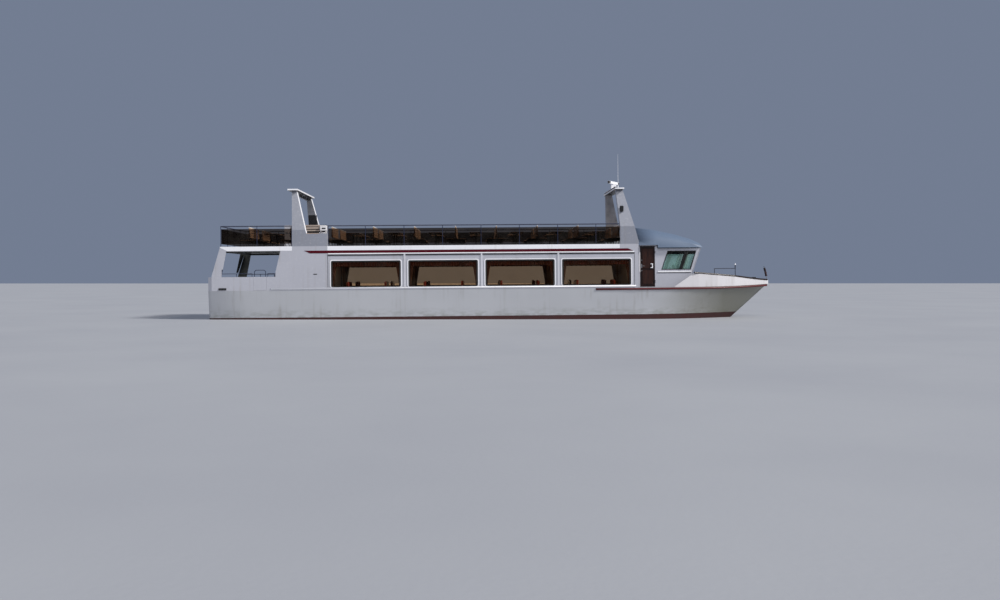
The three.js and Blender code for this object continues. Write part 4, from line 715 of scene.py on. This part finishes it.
seat_cloth = woven("seat_cloth", srgb(96, 26, 28), srgb(120, 48, 44), 4, 0.4, 420, "xyz", 0.08, 0.8, 0.0007)
board_wood = varnished_wood("board_wood", "saloon_furniture", srgb(92, 54, 34), srgb(130, 84, 54))
laminate = varnished_wood("laminate", "saloon_furniture", srgb(142, 104, 74), srgb(176, 136, 100),
                          (1.3, 22, 22))
stem_steel = bare_metal("stem_steel", srgb(150, 150, 152), srgb(110, 110, 112), 0.3, 0.0004)
for side, sign in SIDES.items():
    plinths = bmesh.new()
    tops = bmesh.new()
    stems = bmesh.new()
    y0, y1 = (sign * y for y in BENCH_Y)
    pad_y0, pad_y1 = y0 + sign * SEAT.side, y1 - sign * SEAT.side
    for n, x in enumerate(BAYS, 1):
        pads = bmesh.new()
        for end in (-1, 1):
            rear = x + end * SEAT.rear
            back = rear - end * SEAT.panel
            block(plinths, (x + end * (SEAT.front + SEAT.tuck), y0, SALOON_FLOOR + SEAT.kick),
                  (rear, y1, SEAT.board), 0.006)
            block(plinths, (back, y0, SEAT.board + 0.001), (rear, y1, SEAT.back_top - SEAT.cap), 0.004)
            cushion(pads, (x + end * SEAT.front, pad_y0, SEAT.board + 0.002),
                    (back - end * SEAT.back_thick, pad_y1, SEAT.top), 0.018)
            cushion(pads, (back - end * 0.002, pad_y0, SEAT.board + 0.006),
                    (back - end * (SEAT.back_thick - 0.004), pad_y1, SEAT.back_top), 0.014)
        seats = made(f"saloon_cushions_{side}_{n}", pads, seat_cloth, smooth=True)
        block(tops, (x - SALOON_TABLE.half, y0, SALOON_TABLE.top - SALOON_TABLE.thick),
              (x + SALOON_TABLE.half, y1, SALOON_TABLE.top), 0.008)
        stem_y = sign * SALOON_TABLE.stem_y
        for foot, head, *shape in TABLE_STEM:
            rod(stems, (x, stem_y, SALOON_FLOOR + foot), (x, stem_y, SALOON_FLOOR + head), *shape)
    plinth = made(f"saloon_plinths_{side}", plinths, board_wood)
    made(f"saloon_tables_{side}", tops, laminate)
    made(f"saloon_table_feet_{side}", stems, stem_steel)
    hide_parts("saloon_seating")

# The sun deck's benches stand back to back: planks of oiled hardwood bolted to black steel end
# frames, with a board along the top of each back that is painted white as a painted highlight, for
# the light that catches the tops. A table stands between two.
BENCH_PITCH = 2.014
BENCH_ROWS = [-12.148 + BENCH_PITCH * n for n in range(10)]
BENCH = Sizes(inner=0.45, outer=2.40, seat=3.98, plank=0.026, reach=0.48, slot=0.075)
BACK = Sizes(foot=4.09, top=4.555, foot_out=0.030, top_out=0.010, thick=0.018, side=0.002)
CAP = Sizes(half=0.03, z0=4.560, z1=4.598)
DECK_TOP = 3.5405
HATCH = (-11.25, -8.95)
DECK_TABLE = Sizes(half=0.32, inner=0.60, outer=2.38, top=4.29, plank=0.024)
LEG_HALF = 0.02
LEG_IN = 0.032
BRACE = Sizes(foot=0.19, head=0.34, under=0.06, radius=0.016)
TABLE_LEGS = (DECK_TABLE.inner + 0.12, DECK_TABLE.outer - 0.16)
# Columns: half its length along and across the boat, its foot and head, and how far it is eased.
BENCH_LEG = [(0.009, LEG_HALF, DECK_TOP + 0.01, CAP.z0 - 0.002, 0.003),
             (0.46, LEG_HALF, BENCH.seat - 0.068, BENCH.seat - 0.028, 0.004),
             (0.22, LEG_HALF + 0.01, DECK_TOP, DECK_TOP + 0.012, 0.003)]
TABLE_LEG = [(0.30, 0.02, DECK_TABLE.top - 0.058, DECK_TABLE.top - 0.025, 0.004),
             (0.03, 0.03, DECK_TOP + 0.01, DECK_TABLE.top - 0.056, 0.006),
             (0.18, 0.035, DECK_TOP, DECK_TOP + 0.012, 0.003)]


def over_hatch(x, reach):
    return x + reach > HATCH[0] and x - reach < HATCH[1]


def boards(start, end, count, gap):
    """The two edges of each of a row of equal boards."""
    wide = (end - start - (count - 1) * gap) / count
    return [(start + n * (wide + gap), start + n * (wide + gap) + wide) for n in range(count)]


def leg(mesh, x, y, bars):
    for half_x, half_y, z0, z1, soften in bars:
        block(mesh, (x - half_x, y - half_y, z0), (x + half_x, y + half_y, z1), soften)


GRAIN_ALONG = (1.3, 26, 26)
bench_wood = varnished_wood("bench_wood", "bench_wood", srgb(186, 152, 122), srgb(218, 190, 162),
                            GRAIN_ALONG)
# The boards along the backs' tops are painted white as a painted highlight.
bench_cap_highlight = white_paint("bench_cap_highlight", srgb(232, 230, 226), 0.5, "bench_wood")
bench_black = black_shell("bench_black", srgb(22, 22, 24), 60, 0.4)
for side, sign in SIDES.items():
    planks = bmesh.new()
    caps = bmesh.new()
    frames = bmesh.new()
    inner, outer = sign * BENCH.inner, sign * BENCH.outer
    for x in BENCH_ROWS:
        if sign > 0 and over_hatch(x, BENCH.reach):
            continue
        for end in (-1, 1):
            for near, far in boards(BENCH.slot, BENCH.reach, 3, 0.014):
                block(planks, (x + end * near, inner, BENCH.seat - BENCH.plank),
                      (x + end * far, outer, BENCH.seat), 0.004)
            for z0, z1 in boards(BACK.foot, BACK.top, 4, 0.018):
                share = ((z0 + z1) / 2 - BACK.foot) / (BACK.top - BACK.foot)
                out = BACK.foot_out + share * (BACK.top_out - BACK.foot_out)
                block(planks, (x + end * (out - BACK.thick / 2), inner + sign * BACK.side, z0),
                      (x + end * (out + BACK.thick / 2), outer - sign * BACK.side, z1), 0.003)
        block(caps, (x - CAP.half, inner, CAP.z0), (x + CAP.half, outer, CAP.z1), 0.008)
        for y in (inner + sign * LEG_IN, (inner + outer) / 2, outer - sign * LEG_IN):
            leg(frames, x, y, BENCH_LEG)
            for end in (-1, 1):
                rod(frames, (x + end * BRACE.foot, y, DECK_TOP + 0.01),
                    (x + end * BRACE.head, y, BENCH.seat - BRACE.under), BRACE.radius, 8)
    for x in [row - BENCH_PITCH / 2 for row in BENCH_ROWS[1:]]:
        if sign > 0 and over_hatch(x, DECK_TABLE.half):
            continue
        for x0, x1 in boards(x - DECK_TABLE.half, x + DECK_TABLE.half, 5, 0.01):
            block(planks, (x0, sign * DECK_TABLE.inner, DECK_TABLE.top - DECK_TABLE.plank),
                  (x1, sign * DECK_TABLE.outer, DECK_TABLE.top), 0.004)
        for y in TABLE_LEGS:
            leg(frames, x, sign * y, TABLE_LEG)
    wood = made(f"deck_bench_planks_{side}", planks, bench_wood)
    made(f"deck_bench_caps_{side}", caps, bench_cap_highlight)
    made(f"deck_bench_frames_{side}", frames, bench_black)
    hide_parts(f"sun_deck_seating_{side}")

# The companionway's hatch is fenced with pale boards. A dark panel behind them is painted shade,
# so that the gaps between the boards show dark. A white locker for lifejackets stands at its
# forward end on four legs, with a black vent, over a white kick board.
FENCE_AFT = -10.6
BOARDS_END = -9.26
LOCKER_X = (-9.21, -8.87)
LEG_HEAD = 4.57
GUARD = [((FENCE_AFT, 0.826, foot), (BOARDS_END, 0.842, head), 0.004)
         for foot, head in ((4.555, 4.62), (4.665, 4.765), (4.80, 4.88))]
LOCKER = [((LOCKER_X[0], 0.60, 4.56), (LOCKER_X[1], 0.84, 4.84), 0.015),
          ((BOARDS_END, 0.66, 4.425), (LOCKER_X[1], 0.70, 4.49), 0.006),
          *(((x - 0.02, y - 0.02, DECK_TOP), (x + 0.02, y + 0.02, LEG_HEAD), 0.004)
            for x in (LOCKER_X[0] + 0.04, LOCKER_X[1] - 0.04) for y in (0.68, 0.81))]
VENT = [((-9.10, 0.592, 4.655), (-8.91, 0.601, 4.715), 0.002)]
pale_board = varnished_wood("pale_board", "bench_wood", srgb(172, 156, 146), srgb(204, 190, 178),
                            GRAIN_ALONG)
fitting("stair_guard_boards", pale_board, GUARD)
# A dark panel behind the boards: painted shade in their gaps.
fitting("stair_guard_shade_panel", bench_black,
        [((FENCE_AFT, 0.843, 4.46), (LOCKER_X[1], 0.853, 4.875), 0)])
fitting("stair_locker", bright_paint, LOCKER)
fitting("stair_locker_vent", bench_black, VENT)

# Under the aft end of the deck a frame stiffens the open sides: a beam across, a girder along
# each side and, at the ends, wing plates that widen upwards and follow the slant of the pillars.
# It is painted dark grey as painted shade, for the shade under the deck.
WING = Sizes(low=(-13.92, 2.44, 0.42), high=(-13.60, 3.40, 0.85), rim=2.463, thick=0.025)
GIRDER = Sizes(aft=-13.24, fwd=-10.62, inner=2.30, outer=2.40, foot=3.35)
BEAM = Sizes(aft=-13.30, half=2.45, foot=3.36)
FRAME_TOP = 3.438
wings = bmesh.new()
for sign in SIDES.values():
    plate = bmesh.ops.create_grid(wings, x_segments=1, y_segments=1, size=0.5)["verts"]
    for vert in plate:
        inboard, raised = vert.co.x + 0.5, vert.co.y + 0.5
        x, z, wide = [low + (high - low) * raised for low, high in zip(WING.low, WING.high)]
        vert.co = (x, sign * (WING.rim - wide * inboard), z)
    bmesh.ops.solidify(wings, geom=plate[0].link_faces[:], thickness=WING.thick)
    block(wings, (GIRDER.aft, sign * GIRDER.inner, GIRDER.foot),
          (GIRDER.fwd, sign * GIRDER.outer, FRAME_TOP), 0.004)
block(wings, (BEAM.aft, -BEAM.half, BEAM.foot), (GIRDER.aft, BEAM.half, FRAME_TOP), 0.004)
# The frame's dark grey is painted shade.
made("aft_frame", wings, white_paint("underdeck_shade_paint", srgb(52, 54, 48), 0.3))

# The two portal masts carry the deck lamps, a louvred vent, a loudspeaker and the cable box.
# Lamps are black alloy, hung on a bracket of steel tube; the louvres are pressed steel.
MAST_ROOF_Z = 6.399
LAMPS_Y = (-0.9, 0.2, 1.3)
BAR_ENDS = (-1.2, 1.6)
LAMP_BOXES = [((-10.08, y - 0.12, 6.20), (-9.86, y + 0.12, 6.33), 0.02) for y in LAMPS_Y]
LAMP_FRONTS = [((-9.865, y, 6.26), (-9.82, y, 6.25), 0.055, 16, 0.062) for y in LAMPS_Y]
LAMP_STAYS = [((-9.98, y + way, 6.25), (-9.98, y + way, MAST_ROOF_Z), 0.012, 8)
              for y in LAMPS_Y for way in (-0.14, 0.14)]
LAMP_BAR = [((-9.93, BAR_ENDS[0], 6.17), (-9.93, BAR_ENDS[1], 6.17), 0.02),
            *(((-9.93, y, 6.16), (-9.93, y, MAST_ROOF_Z), 0.02) for y in BAR_ENDS)]
fitting_black = black_shell("fitting_black", srgb(24, 24, 26), 200, 0.38)
fitting("deck_lamps", fitting_black, LAMP_BOXES, LAMP_FRONTS)
fitting("deck_lamp_brackets", stem_steel, rods=LAMP_STAYS + LAMP_BAR)

MAST_LEG = Sizes(seam_z=4.45, rise=1.95, foot_out=2.54, head_out=2.16, deep=0.32)
LOUVRE_FEET = [4.72 + n * 0.085 for n in range(9)]
LOUVRE_ENDS = (4.70, 5.47)


def mast_inner(z):
    """How far from the middle the aft mast's leg has its inner face at a height."""
    share = (z - MAST_LEG.seam_z) / MAST_LEG.rise
    return MAST_LEG.foot_out + share * (MAST_LEG.head_out - MAST_LEG.foot_out) - MAST_LEG.deep


slats = [((-9.99, mast_inner(z) - 0.05, z), (-9.58 - 0.012 * n, mast_inner(z) + 0.012, z + 0.078), 0.003)
         for n, z in enumerate(LOUVRE_FEET)]
rims = [(*((x, mast_inner(z) - 0.02, z) for z in LOUVRE_ENDS), 0.022, 4) for x in (-10.01, -9.62)]
fitting("mast_louvres", fitting_black, slats, rims)

SPEAKER = Vector((6.135, -2.36, 5.40))
SPEAKER_HALF = Vector((0.085, 0.07, 0.14))
speaker = bmesh.new()
tilt = Matrix.Translation(SPEAKER) @ Matrix.Rotation(math.radians(12), 4, "X")
block(speaker, -SPEAKER_HALF, SPEAKER_HALF, 0.02, tilt)
block(speaker, (-0.07, -0.078, -0.115), (0.07, -0.068, 0.115), 0.01, tilt)
for z in (5.29, 5.51):
    rod(speaker, (SPEAKER.x, -2.32, z), (SPEAKER.x, -2.20, z), 0.014, 8)
block(speaker, (6.10, -2.27, 5.26), (6.17, -2.255, 5.54), 0.004)
made("mast_loudspeaker", speaker, fitting_black)

# The radar's turning bar has a rounded black cap on each end. A cable box with a white lid lies
# along the mast head's after edge, under the radar.
RADAR = Matrix.Translation((6.09, 0, 6.905)) @ Matrix.Rotation(math.radians(-33), 4, "Z")
BAR_CAPS = [((-0.053, end * 0.44, -0.068), (0.053, end * 0.606, 0.067), 0.012) for end in (-1, 1)]
CABLE_BOX = [((5.88, -1.9, 6.4705), (6.0, 1.9, 6.53), 0.01)]
CABLE_LID = [((5.875, -1.92, 6.5305), (6.005, 1.92, 6.545), 0.004)]
fitting("mast_cable_box", fitting_black, CABLE_BOX)
fitting("mast_cable_lid", bright_paint, CABLE_LID)
fitting("radar_end_caps", fitting_black, BAR_CAPS, body="radar_scanner", turn=RADAR)

# The wheelhouse's side windows sit in black rubber with a mullion and a tinted band along the top.
# A white sill runs below them, with a thin dark strip under it that is painted shade, for the shadow line
# under the sill.
HOUSE_OUT = 1.90
SIDE_PANE = [(8.19, 2.38), (9.64, 2.38), (9.93, 3.30), (8.50, 3.30)]
MULLION = Sizes(foot_z=2.384, head_z=3.296, radius=0.055, bars=[(9.12, 9.405), (9.18, 9.505)])
# Columns: how far in from the pane's edge and how far out from the wall each corner lies.
RUBBER_BAR = [(-0.012, 0.0005), (-0.012, 0.009), (0.03, 0.006), (0.03, -0.049), (0.001, -0.045),
              (0.001, 0.003)]
SUN_BAND = [((8.50, -0.047, 3.14), (9.88, -0.043, 3.297), 0)]
SILL = [((7.99, BOND, 2.235), (9.68, 0.03, 2.295), 0.008)]
# The dark strip under each sill is painted shade.
SILL_SHADOW_STRIP = [((7.99, BOND, 2.205), (9.66, 0.012, 2.228), 0.003)]


def ring_of(mesh, outline, sign):
    """A rubber bar bent round an outline of the wheelhouse's side."""
    middle = Vector((sum(p[0] for p in outline), sum(p[1] for p in outline))) / len(outline)
    loops = []
    for inwards, out in RUBBER_BAR:
        verts = []
        for x, z in outline:
            toward = Vector((x, z)) - middle
            spot = middle + Vector([part * (1 - inwards / abs(part)) for part in toward])
            verts.append(mesh.verts.new((spot.x, sign * (HOUSE_OUT + out), spot.y)))
        loops.append([mesh.edges.new((a, b)) for a, b in zip(verts, verts[1:] + verts[:1])])
    joined_loops(mesh, loops)


rubber = bmesh.new()
for sign in SIDES.values():
    ring_of(rubber, SIDE_PANE, sign)
    for foot, head in MULLION.bars:
        y = sign * (HOUSE_OUT - 0.01)
        rod(rubber, (foot, y, MULLION.foot_z), (head, y, MULLION.head_z), MULLION.radius, 4)
made("side_window_rubber", rubber, gasket_rubber)
band_glass = tinted_pane("sun_band", (0.2, 0.24, 0.24, 1), srgb(14, 16, 16), 0.5, 0.02)
on_house = {"signs": SIDES.values(), "wall": HOUSE_OUT}
fitting("side_window_sun_bands", band_glass, SUN_BAND, **on_house)
fitting("wheelhouse_sills", frame_paint, SILL, **on_house)
fitting("wheelhouse_sill_shadow_strips", gasket_rubber, SILL_SHADOW_STRIP, **on_house)

# Each wheelhouse door has two raised panels, a lever handle on a plate and a white pull, and
# beside it a white grab rail is bolted to the wall.
HANDLE_X = 7.19
PULL_OUT = 0.045
GRAB_X = 7.085
GRAB_OUT = 0.06
PANELS = [((7.22, 0, foot), (7.74, 0.012, head), 0.008) for foot, head in ((1.66, 2.35), (2.45, 3.42))]
PLATES = [((HANDLE_X - 0.03, 0, 2.46), (HANDLE_X + 0.025, 0.008, 2.66), 0.003),
          *(((HANDLE_X - 0.015, 0, z), (HANDLE_X + 0.02, 0.012, z + 0.06), 0.003) for z in (2.30, 2.82))]
LEVER = [((HANDLE_X, 0, 2.56), (HANDLE_X, 0.055, 2.56), 0.012, 12),
         ((HANDLE_X - 0.012, 0.05, 2.56), (HANDLE_X + 0.13, 0.05, 2.56), 0.011, 12)]
PULL = [((7.72, PULL_OUT, 2.455), (7.72, PULL_OUT, 2.68), 0.024, 14)]
for z in (2.475, 2.66):
    PULL.append(((7.64, 0.012, z), (7.66, PULL_OUT, z), 0.022, 12))
    PULL.append(((7.66, PULL_OUT, z), (7.72, PULL_OUT, z), 0.022, 12))
GRAB = [((GRAB_X, GRAB_OUT, 2.25), (GRAB_X, GRAB_OUT, 3.25), 0.018, 12),
        *(((GRAB_X, 0, z), (GRAB_X, GRAB_OUT, z), 0.014, 10) for z in (2.26, 3.24))]
panel_wood = varnished_wood("door_panel_wood", "door_paint", srgb(34, 18, 14), srgb(58, 33, 24))
for side, sign in SIDES.items():
    on_wall = {"signs": [sign], "wall": HOUSE_OUT + BOND}
    on_door = {"body": f"wheelhouse_door_{side}", **on_wall}
    fitting(f"door_panels_{side}", panel_wood, PANELS, **on_door)
    fitting(f"door_handle_{side}", stem_steel, PLATES, LEVER, **on_door)
    fitting(f"door_pull_{side}", bright_paint, rods=PULL, **on_door)
    fitting(f"grab_rail_{side}", bright_paint, rods=GRAB, **on_wall)

# The helmsman's chair is a padded seat and back with arm rests, in black leather over foam, on a
# steel pillar that is bolted to the floor.
# Columns: two corners of each pad and how far it is crowned.
PADS = [((8.21, -0.245, 1.975), (8.695, 0.245, 2.078), 0.02),
        ((8.185, -0.235, 2.10), (8.258, 0.235, 2.695), 0.014),
        *(((8.28, y - 0.022, 2.22), (8.58, y + 0.022, 2.275), 0.008) for y in (-0.243, 0.243))]
CHAIR_PLATES = [((8.25, -0.2, 1.955), (8.65, 0.2, 1.98), 0.008),
                ((8.181, -0.03, 1.97), (8.195, 0.03, 2.5), 0.003),
                ((8.181, -0.03, 1.956), (8.40, 0.03, 1.974), 0.003)]
CHAIR_RODS = [((8.45, 0, 1.501), (8.45, 0, 1.53), 0.2, 24, 0.17),
              ((8.45, 0, 1.52), (8.45, 0, 1.965), 0.045, 16),
              *(((x, y, 1.97), (x, y, 2.225), 0.012, 8) for x in (8.30, 8.56) for y in (-0.235, 0.235))]
helm_leather = Finish("helm_leather", "black_fitting")
creases = helm_leather.noise(90, 4)
helm_leather.surface(
    Base_Color=helm_leather.patchy(srgb(30, 30, 32), srgb(56, 54, 54), 6, low=0.4),
    Roughness=creases * 0.2 + 0.38,
    Normal=helm_leather.bump(creases, 0.0012),
)
chair = bmesh.new()
for low, high, crown in PADS:
    cushion(chair, low, high, crown)
chair = made("helm_chair_pads", chair, helm_leather, smooth=True)
pillar = fitting("helm_chair_frame", stem_steel, CHAIR_PLATES, CHAIR_RODS)
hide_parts("helm_seat")

# On the console stand a wheel with a leather grip on three spokes, two screens on their feet,
# throttle levers and a compass under a cover.
HUB = Vector((8.93, 0, 2.31))
WHEEL = Sizes(lean=-62, radius=0.19, grip=0.014, spokes=3)
wheel = bmesh.new()
lean = Matrix.Translation(HUB) @ Matrix.Rotation(math.radians(WHEEL.lean), 4, "Y")
rim_place = lean @ Matrix.Translation((WHEEL.radius, 0, 0)) @ Matrix.Rotation(math.pi / 2, 4, "X")
rim = bmesh.ops.create_circle(wheel, segments=10, radius=WHEEL.grip, matrix=rim_place)["verts"]
bmesh.ops.spin(wheel, geom=rim + list(wheel.edges), cent=HUB, axis=lean.to_3x3() @ Vector((0, 0, 1)),
               angle=2 * math.pi, steps=32, use_merge=True)
for n in range(WHEEL.spokes):
    spoke = lean @ Matrix.Rotation(math.radians(360 / WHEEL.spokes * n + 30), 4, "Z")
    rod(wheel, spoke @ Vector((0.02, 0, 0)), spoke @ Vector((0.185, 0, 0)), 0.01, 8)
rod(wheel, lean @ Vector((0, 0, 0.03)), lean @ Vector((0, 0, -0.02)), 0.045, 20)
rod(wheel, lean @ Vector((0, 0, -0.02)), (9.06, 0, 2.235), 0.02, 12)
made("helm_wheel", wheel, helm_leather)

SCREEN_PLACES = [(9.3, -0.62, 2.50), (9.3, 0.45, 2.50)]
SCREEN_HALF = Vector((0.03, 0.22, 0.14))
THROTTLES_Y = (-0.27, -0.33)
screens = bmesh.new()
for place in SCREEN_PLACES:
    tilt = Matrix.Translation(place) @ Matrix.Rotation(math.radians(-18), 4, "Y")
    block(screens, -SCREEN_HALF, SCREEN_HALF, 0.008, tilt)
    block(screens, (-0.02, -0.05, -0.20), (0.03, 0.05, -0.12), 0.004, tilt)
block(screens, (9.16, -1.12, 2.335), (9.42, -0.92, 2.47), 0.02)
for y in THROTTLES_Y:
    rod(screens, (9.2, y, 2.33), (9.16, y, 2.50), 0.008, 8)
    block(screens, (9.145, y - 0.018, 2.49), (9.175, y + 0.018, 2.53), 0.008)
block(screens, (9.1, -0.40, 2.325), (9.3, -0.20, 2.36), 0.01)
rod(screens, (9.36, 0, 2.38), (9.36, 0, 2.46), 0.075, 20, 0.05)
made("helm_instruments", screens, fitting_black)

# Two wipers are parked on the front panes: a black arm on a spindle through the sill, and a
# blade across its end.
wipers = bmesh.new()
for y in (-0.55, 0.55):
    rod(wipers, (9.90, y, 2.36), (9.945, y - 0.25, 2.60), 0.009, 8)
    rod(wipers, (9.895, y - 0.28, 2.42), (10.02, y - 0.22, 2.80), 0.008, 8)
    rod(wipers, (9.80, y, 2.345), (9.92, y, 2.36), 0.022, 10)
made("window_wipers", wipers, fitting_black)

# Black cast fairleads are bolted on at the stern and at the stem, and a small black vent is let
# into the side by the gate on each side.
SIDE_LEADS = [((-13.62, 0, 1.53), (-13.24, 0.03, 1.635), 0.012),
              ((-9.02, 0, 2.26), (-8.84, 0.009, 2.30), 0.003)]
BOW_LEAD = [((13.05, 0.80, 1.885), (13.28, 0.70, 1.96), 0.02)]
fitting("side_fairleads", bollard_paint, SIDE_LEADS, signs=SIDES.values(),
        wall=WALL_OUT + 0.0008)
fitting("bow_fairleads", bollard_paint, BOW_LEAD, signs=SIDES.values())

# A dark capping runs along the top of the bow bulwark. It is a half-round of hardwood over the
# steel, in lengths that lap a little at their ends.
# Columns: place along the boat, half-breadth and height of the bulwark's top.
BULWARK = [(9.75, 2.277, 2.190), (10.0, 2.16, 2.170), (11.0, 1.865, 2.090), (12.0, 1.438, 2.010),
           (13.0, 0.88, 1.890), (13.6, 0.485, 1.830), (14.06, 0.102, 1.800)]
CAPPING = [((x0, y0 - 0.022, z0 + 0.018), (x1 + 0.01, y1 - 0.022, z1 + 0.018), 0.042, 8)
           for (x0, y0, z0), (x1, y1, z1) in zip(BULWARK, BULWARK[1:])]
fitting("bulwark_capping", door_wood, rods=CAPPING, signs=SIDES.values())

# A flag of dark cloth is furled round the jackstaff and tied in three places with black bands.
# The staff ends in a small turned cap.
STAFF_FOOT = Vector((14.105, 0, 1.80))
STAFF_HEAD = Vector((13.95, 0, 2.48))
FURL = Sizes(foot=0.30, head=0.94, turns=2.25, rows=26, columns=48, slack=0.03, grows=0.02)
TIES = Sizes(shares=(0.42, 0.66, 0.86), half=0.008, radius=0.056)
flag_cloth = woven("flag_cloth", srgb(34, 26, 30), srgb(66, 30, 34), 14, 0.4, 1200, "xz", 0.1, 0.8, 0.0003)
furled = bmesh.new()
bmesh.ops.create_grid(furled, x_segments=FURL.columns, y_segments=FURL.rows, size=0.5)
aim = (STAFF_HEAD - STAFF_FOOT).to_track_quat("Z", "Y").to_matrix()
for vert in furled.verts:
    along, height = vert.co.x + 0.5, vert.co.y + 0.5
    turn = along * FURL.turns * 2 * math.pi
    bulge = 0.012 * math.sin(height * 9 + 1) ** 2 * (along + 0.1)
    out = FURL.slack + FURL.grows * along + bulge + 0.004 * math.sin(3 * turn + 8 * height)
    up_staff = FURL.foot + height * (FURL.head - FURL.foot)
    spot = Vector((out * math.cos(turn), out * math.sin(turn), 0))
    vert.co = STAFF_FOOT.lerp(STAFF_HEAD, up_staff) + aim @ spot
furl_area = sum(face.calc_area() for face in furled.faces)
flag = made("furled_flag", furled, flag_cloth, smooth=True)
ties = bmesh.new()
half_tie = aim @ Vector((0, 0, TIES.half))
for share in TIES.shares:
    at = STAFF_FOOT.lerp(STAFF_HEAD, share)
    rod(ties, at - half_tie, at + half_tie, TIES.radius, 16)
rod(ties, STAFF_HEAD, STAFF_HEAD + aim @ Vector((0, 0, 0.03)), 0.03, 12, 0.012)
made("flag_ties", ties, gasket_rubber)

# A round white lamp tops the bow rail's post. It is turned in alloy and painted, with a foot, a
# tapered body and a sloping lid.
POST_X = 12.43
# Columns: foot and head, radius at the foot and at the head.
LAMP_RINGS = [(2.6005, 2.62, 0.045, 0.045), (2.62, 2.665, 0.034, 0.03), (2.665, 2.68, 0.038, 0.024)]
lamp = [((POST_X, 0, foot), (POST_X, 0, head), low, 20, high) for foot, head, low, high in LAMP_RINGS]
fitting("bow_lamp", bright_paint, rods=lamp)

# The windlass has a round steel cover bolted on its gear case at each side. Outside it stands the
# flange of the drum, which is turned from plate.
DRUM_X = 12.2
DRUM_Z = 1.775
BOLT_CIRCLE = 0.115
# Columns: how far out each disc starts and ends, and its radius.
DISCS = [(0.235, 0.25, 0.14), (0.34, 0.362, 0.125)]
gear = [((DRUM_X, near, DRUM_Z), (DRUM_X, far, DRUM_Z), radius, 24) for near, far, radius in DISCS]
for turn in (math.radians(60 * n) for n in range(6)):
    x, z = DRUM_X + BOLT_CIRCLE * math.cos(turn), DRUM_Z + BOLT_CIRCLE * math.sin(turn)
    gear.append(((x, 0.25, z), (x, 0.262, z), 0.012, 6))
fitting("windlass_gear", stem_steel, rods=gear, signs=SIDES.values())
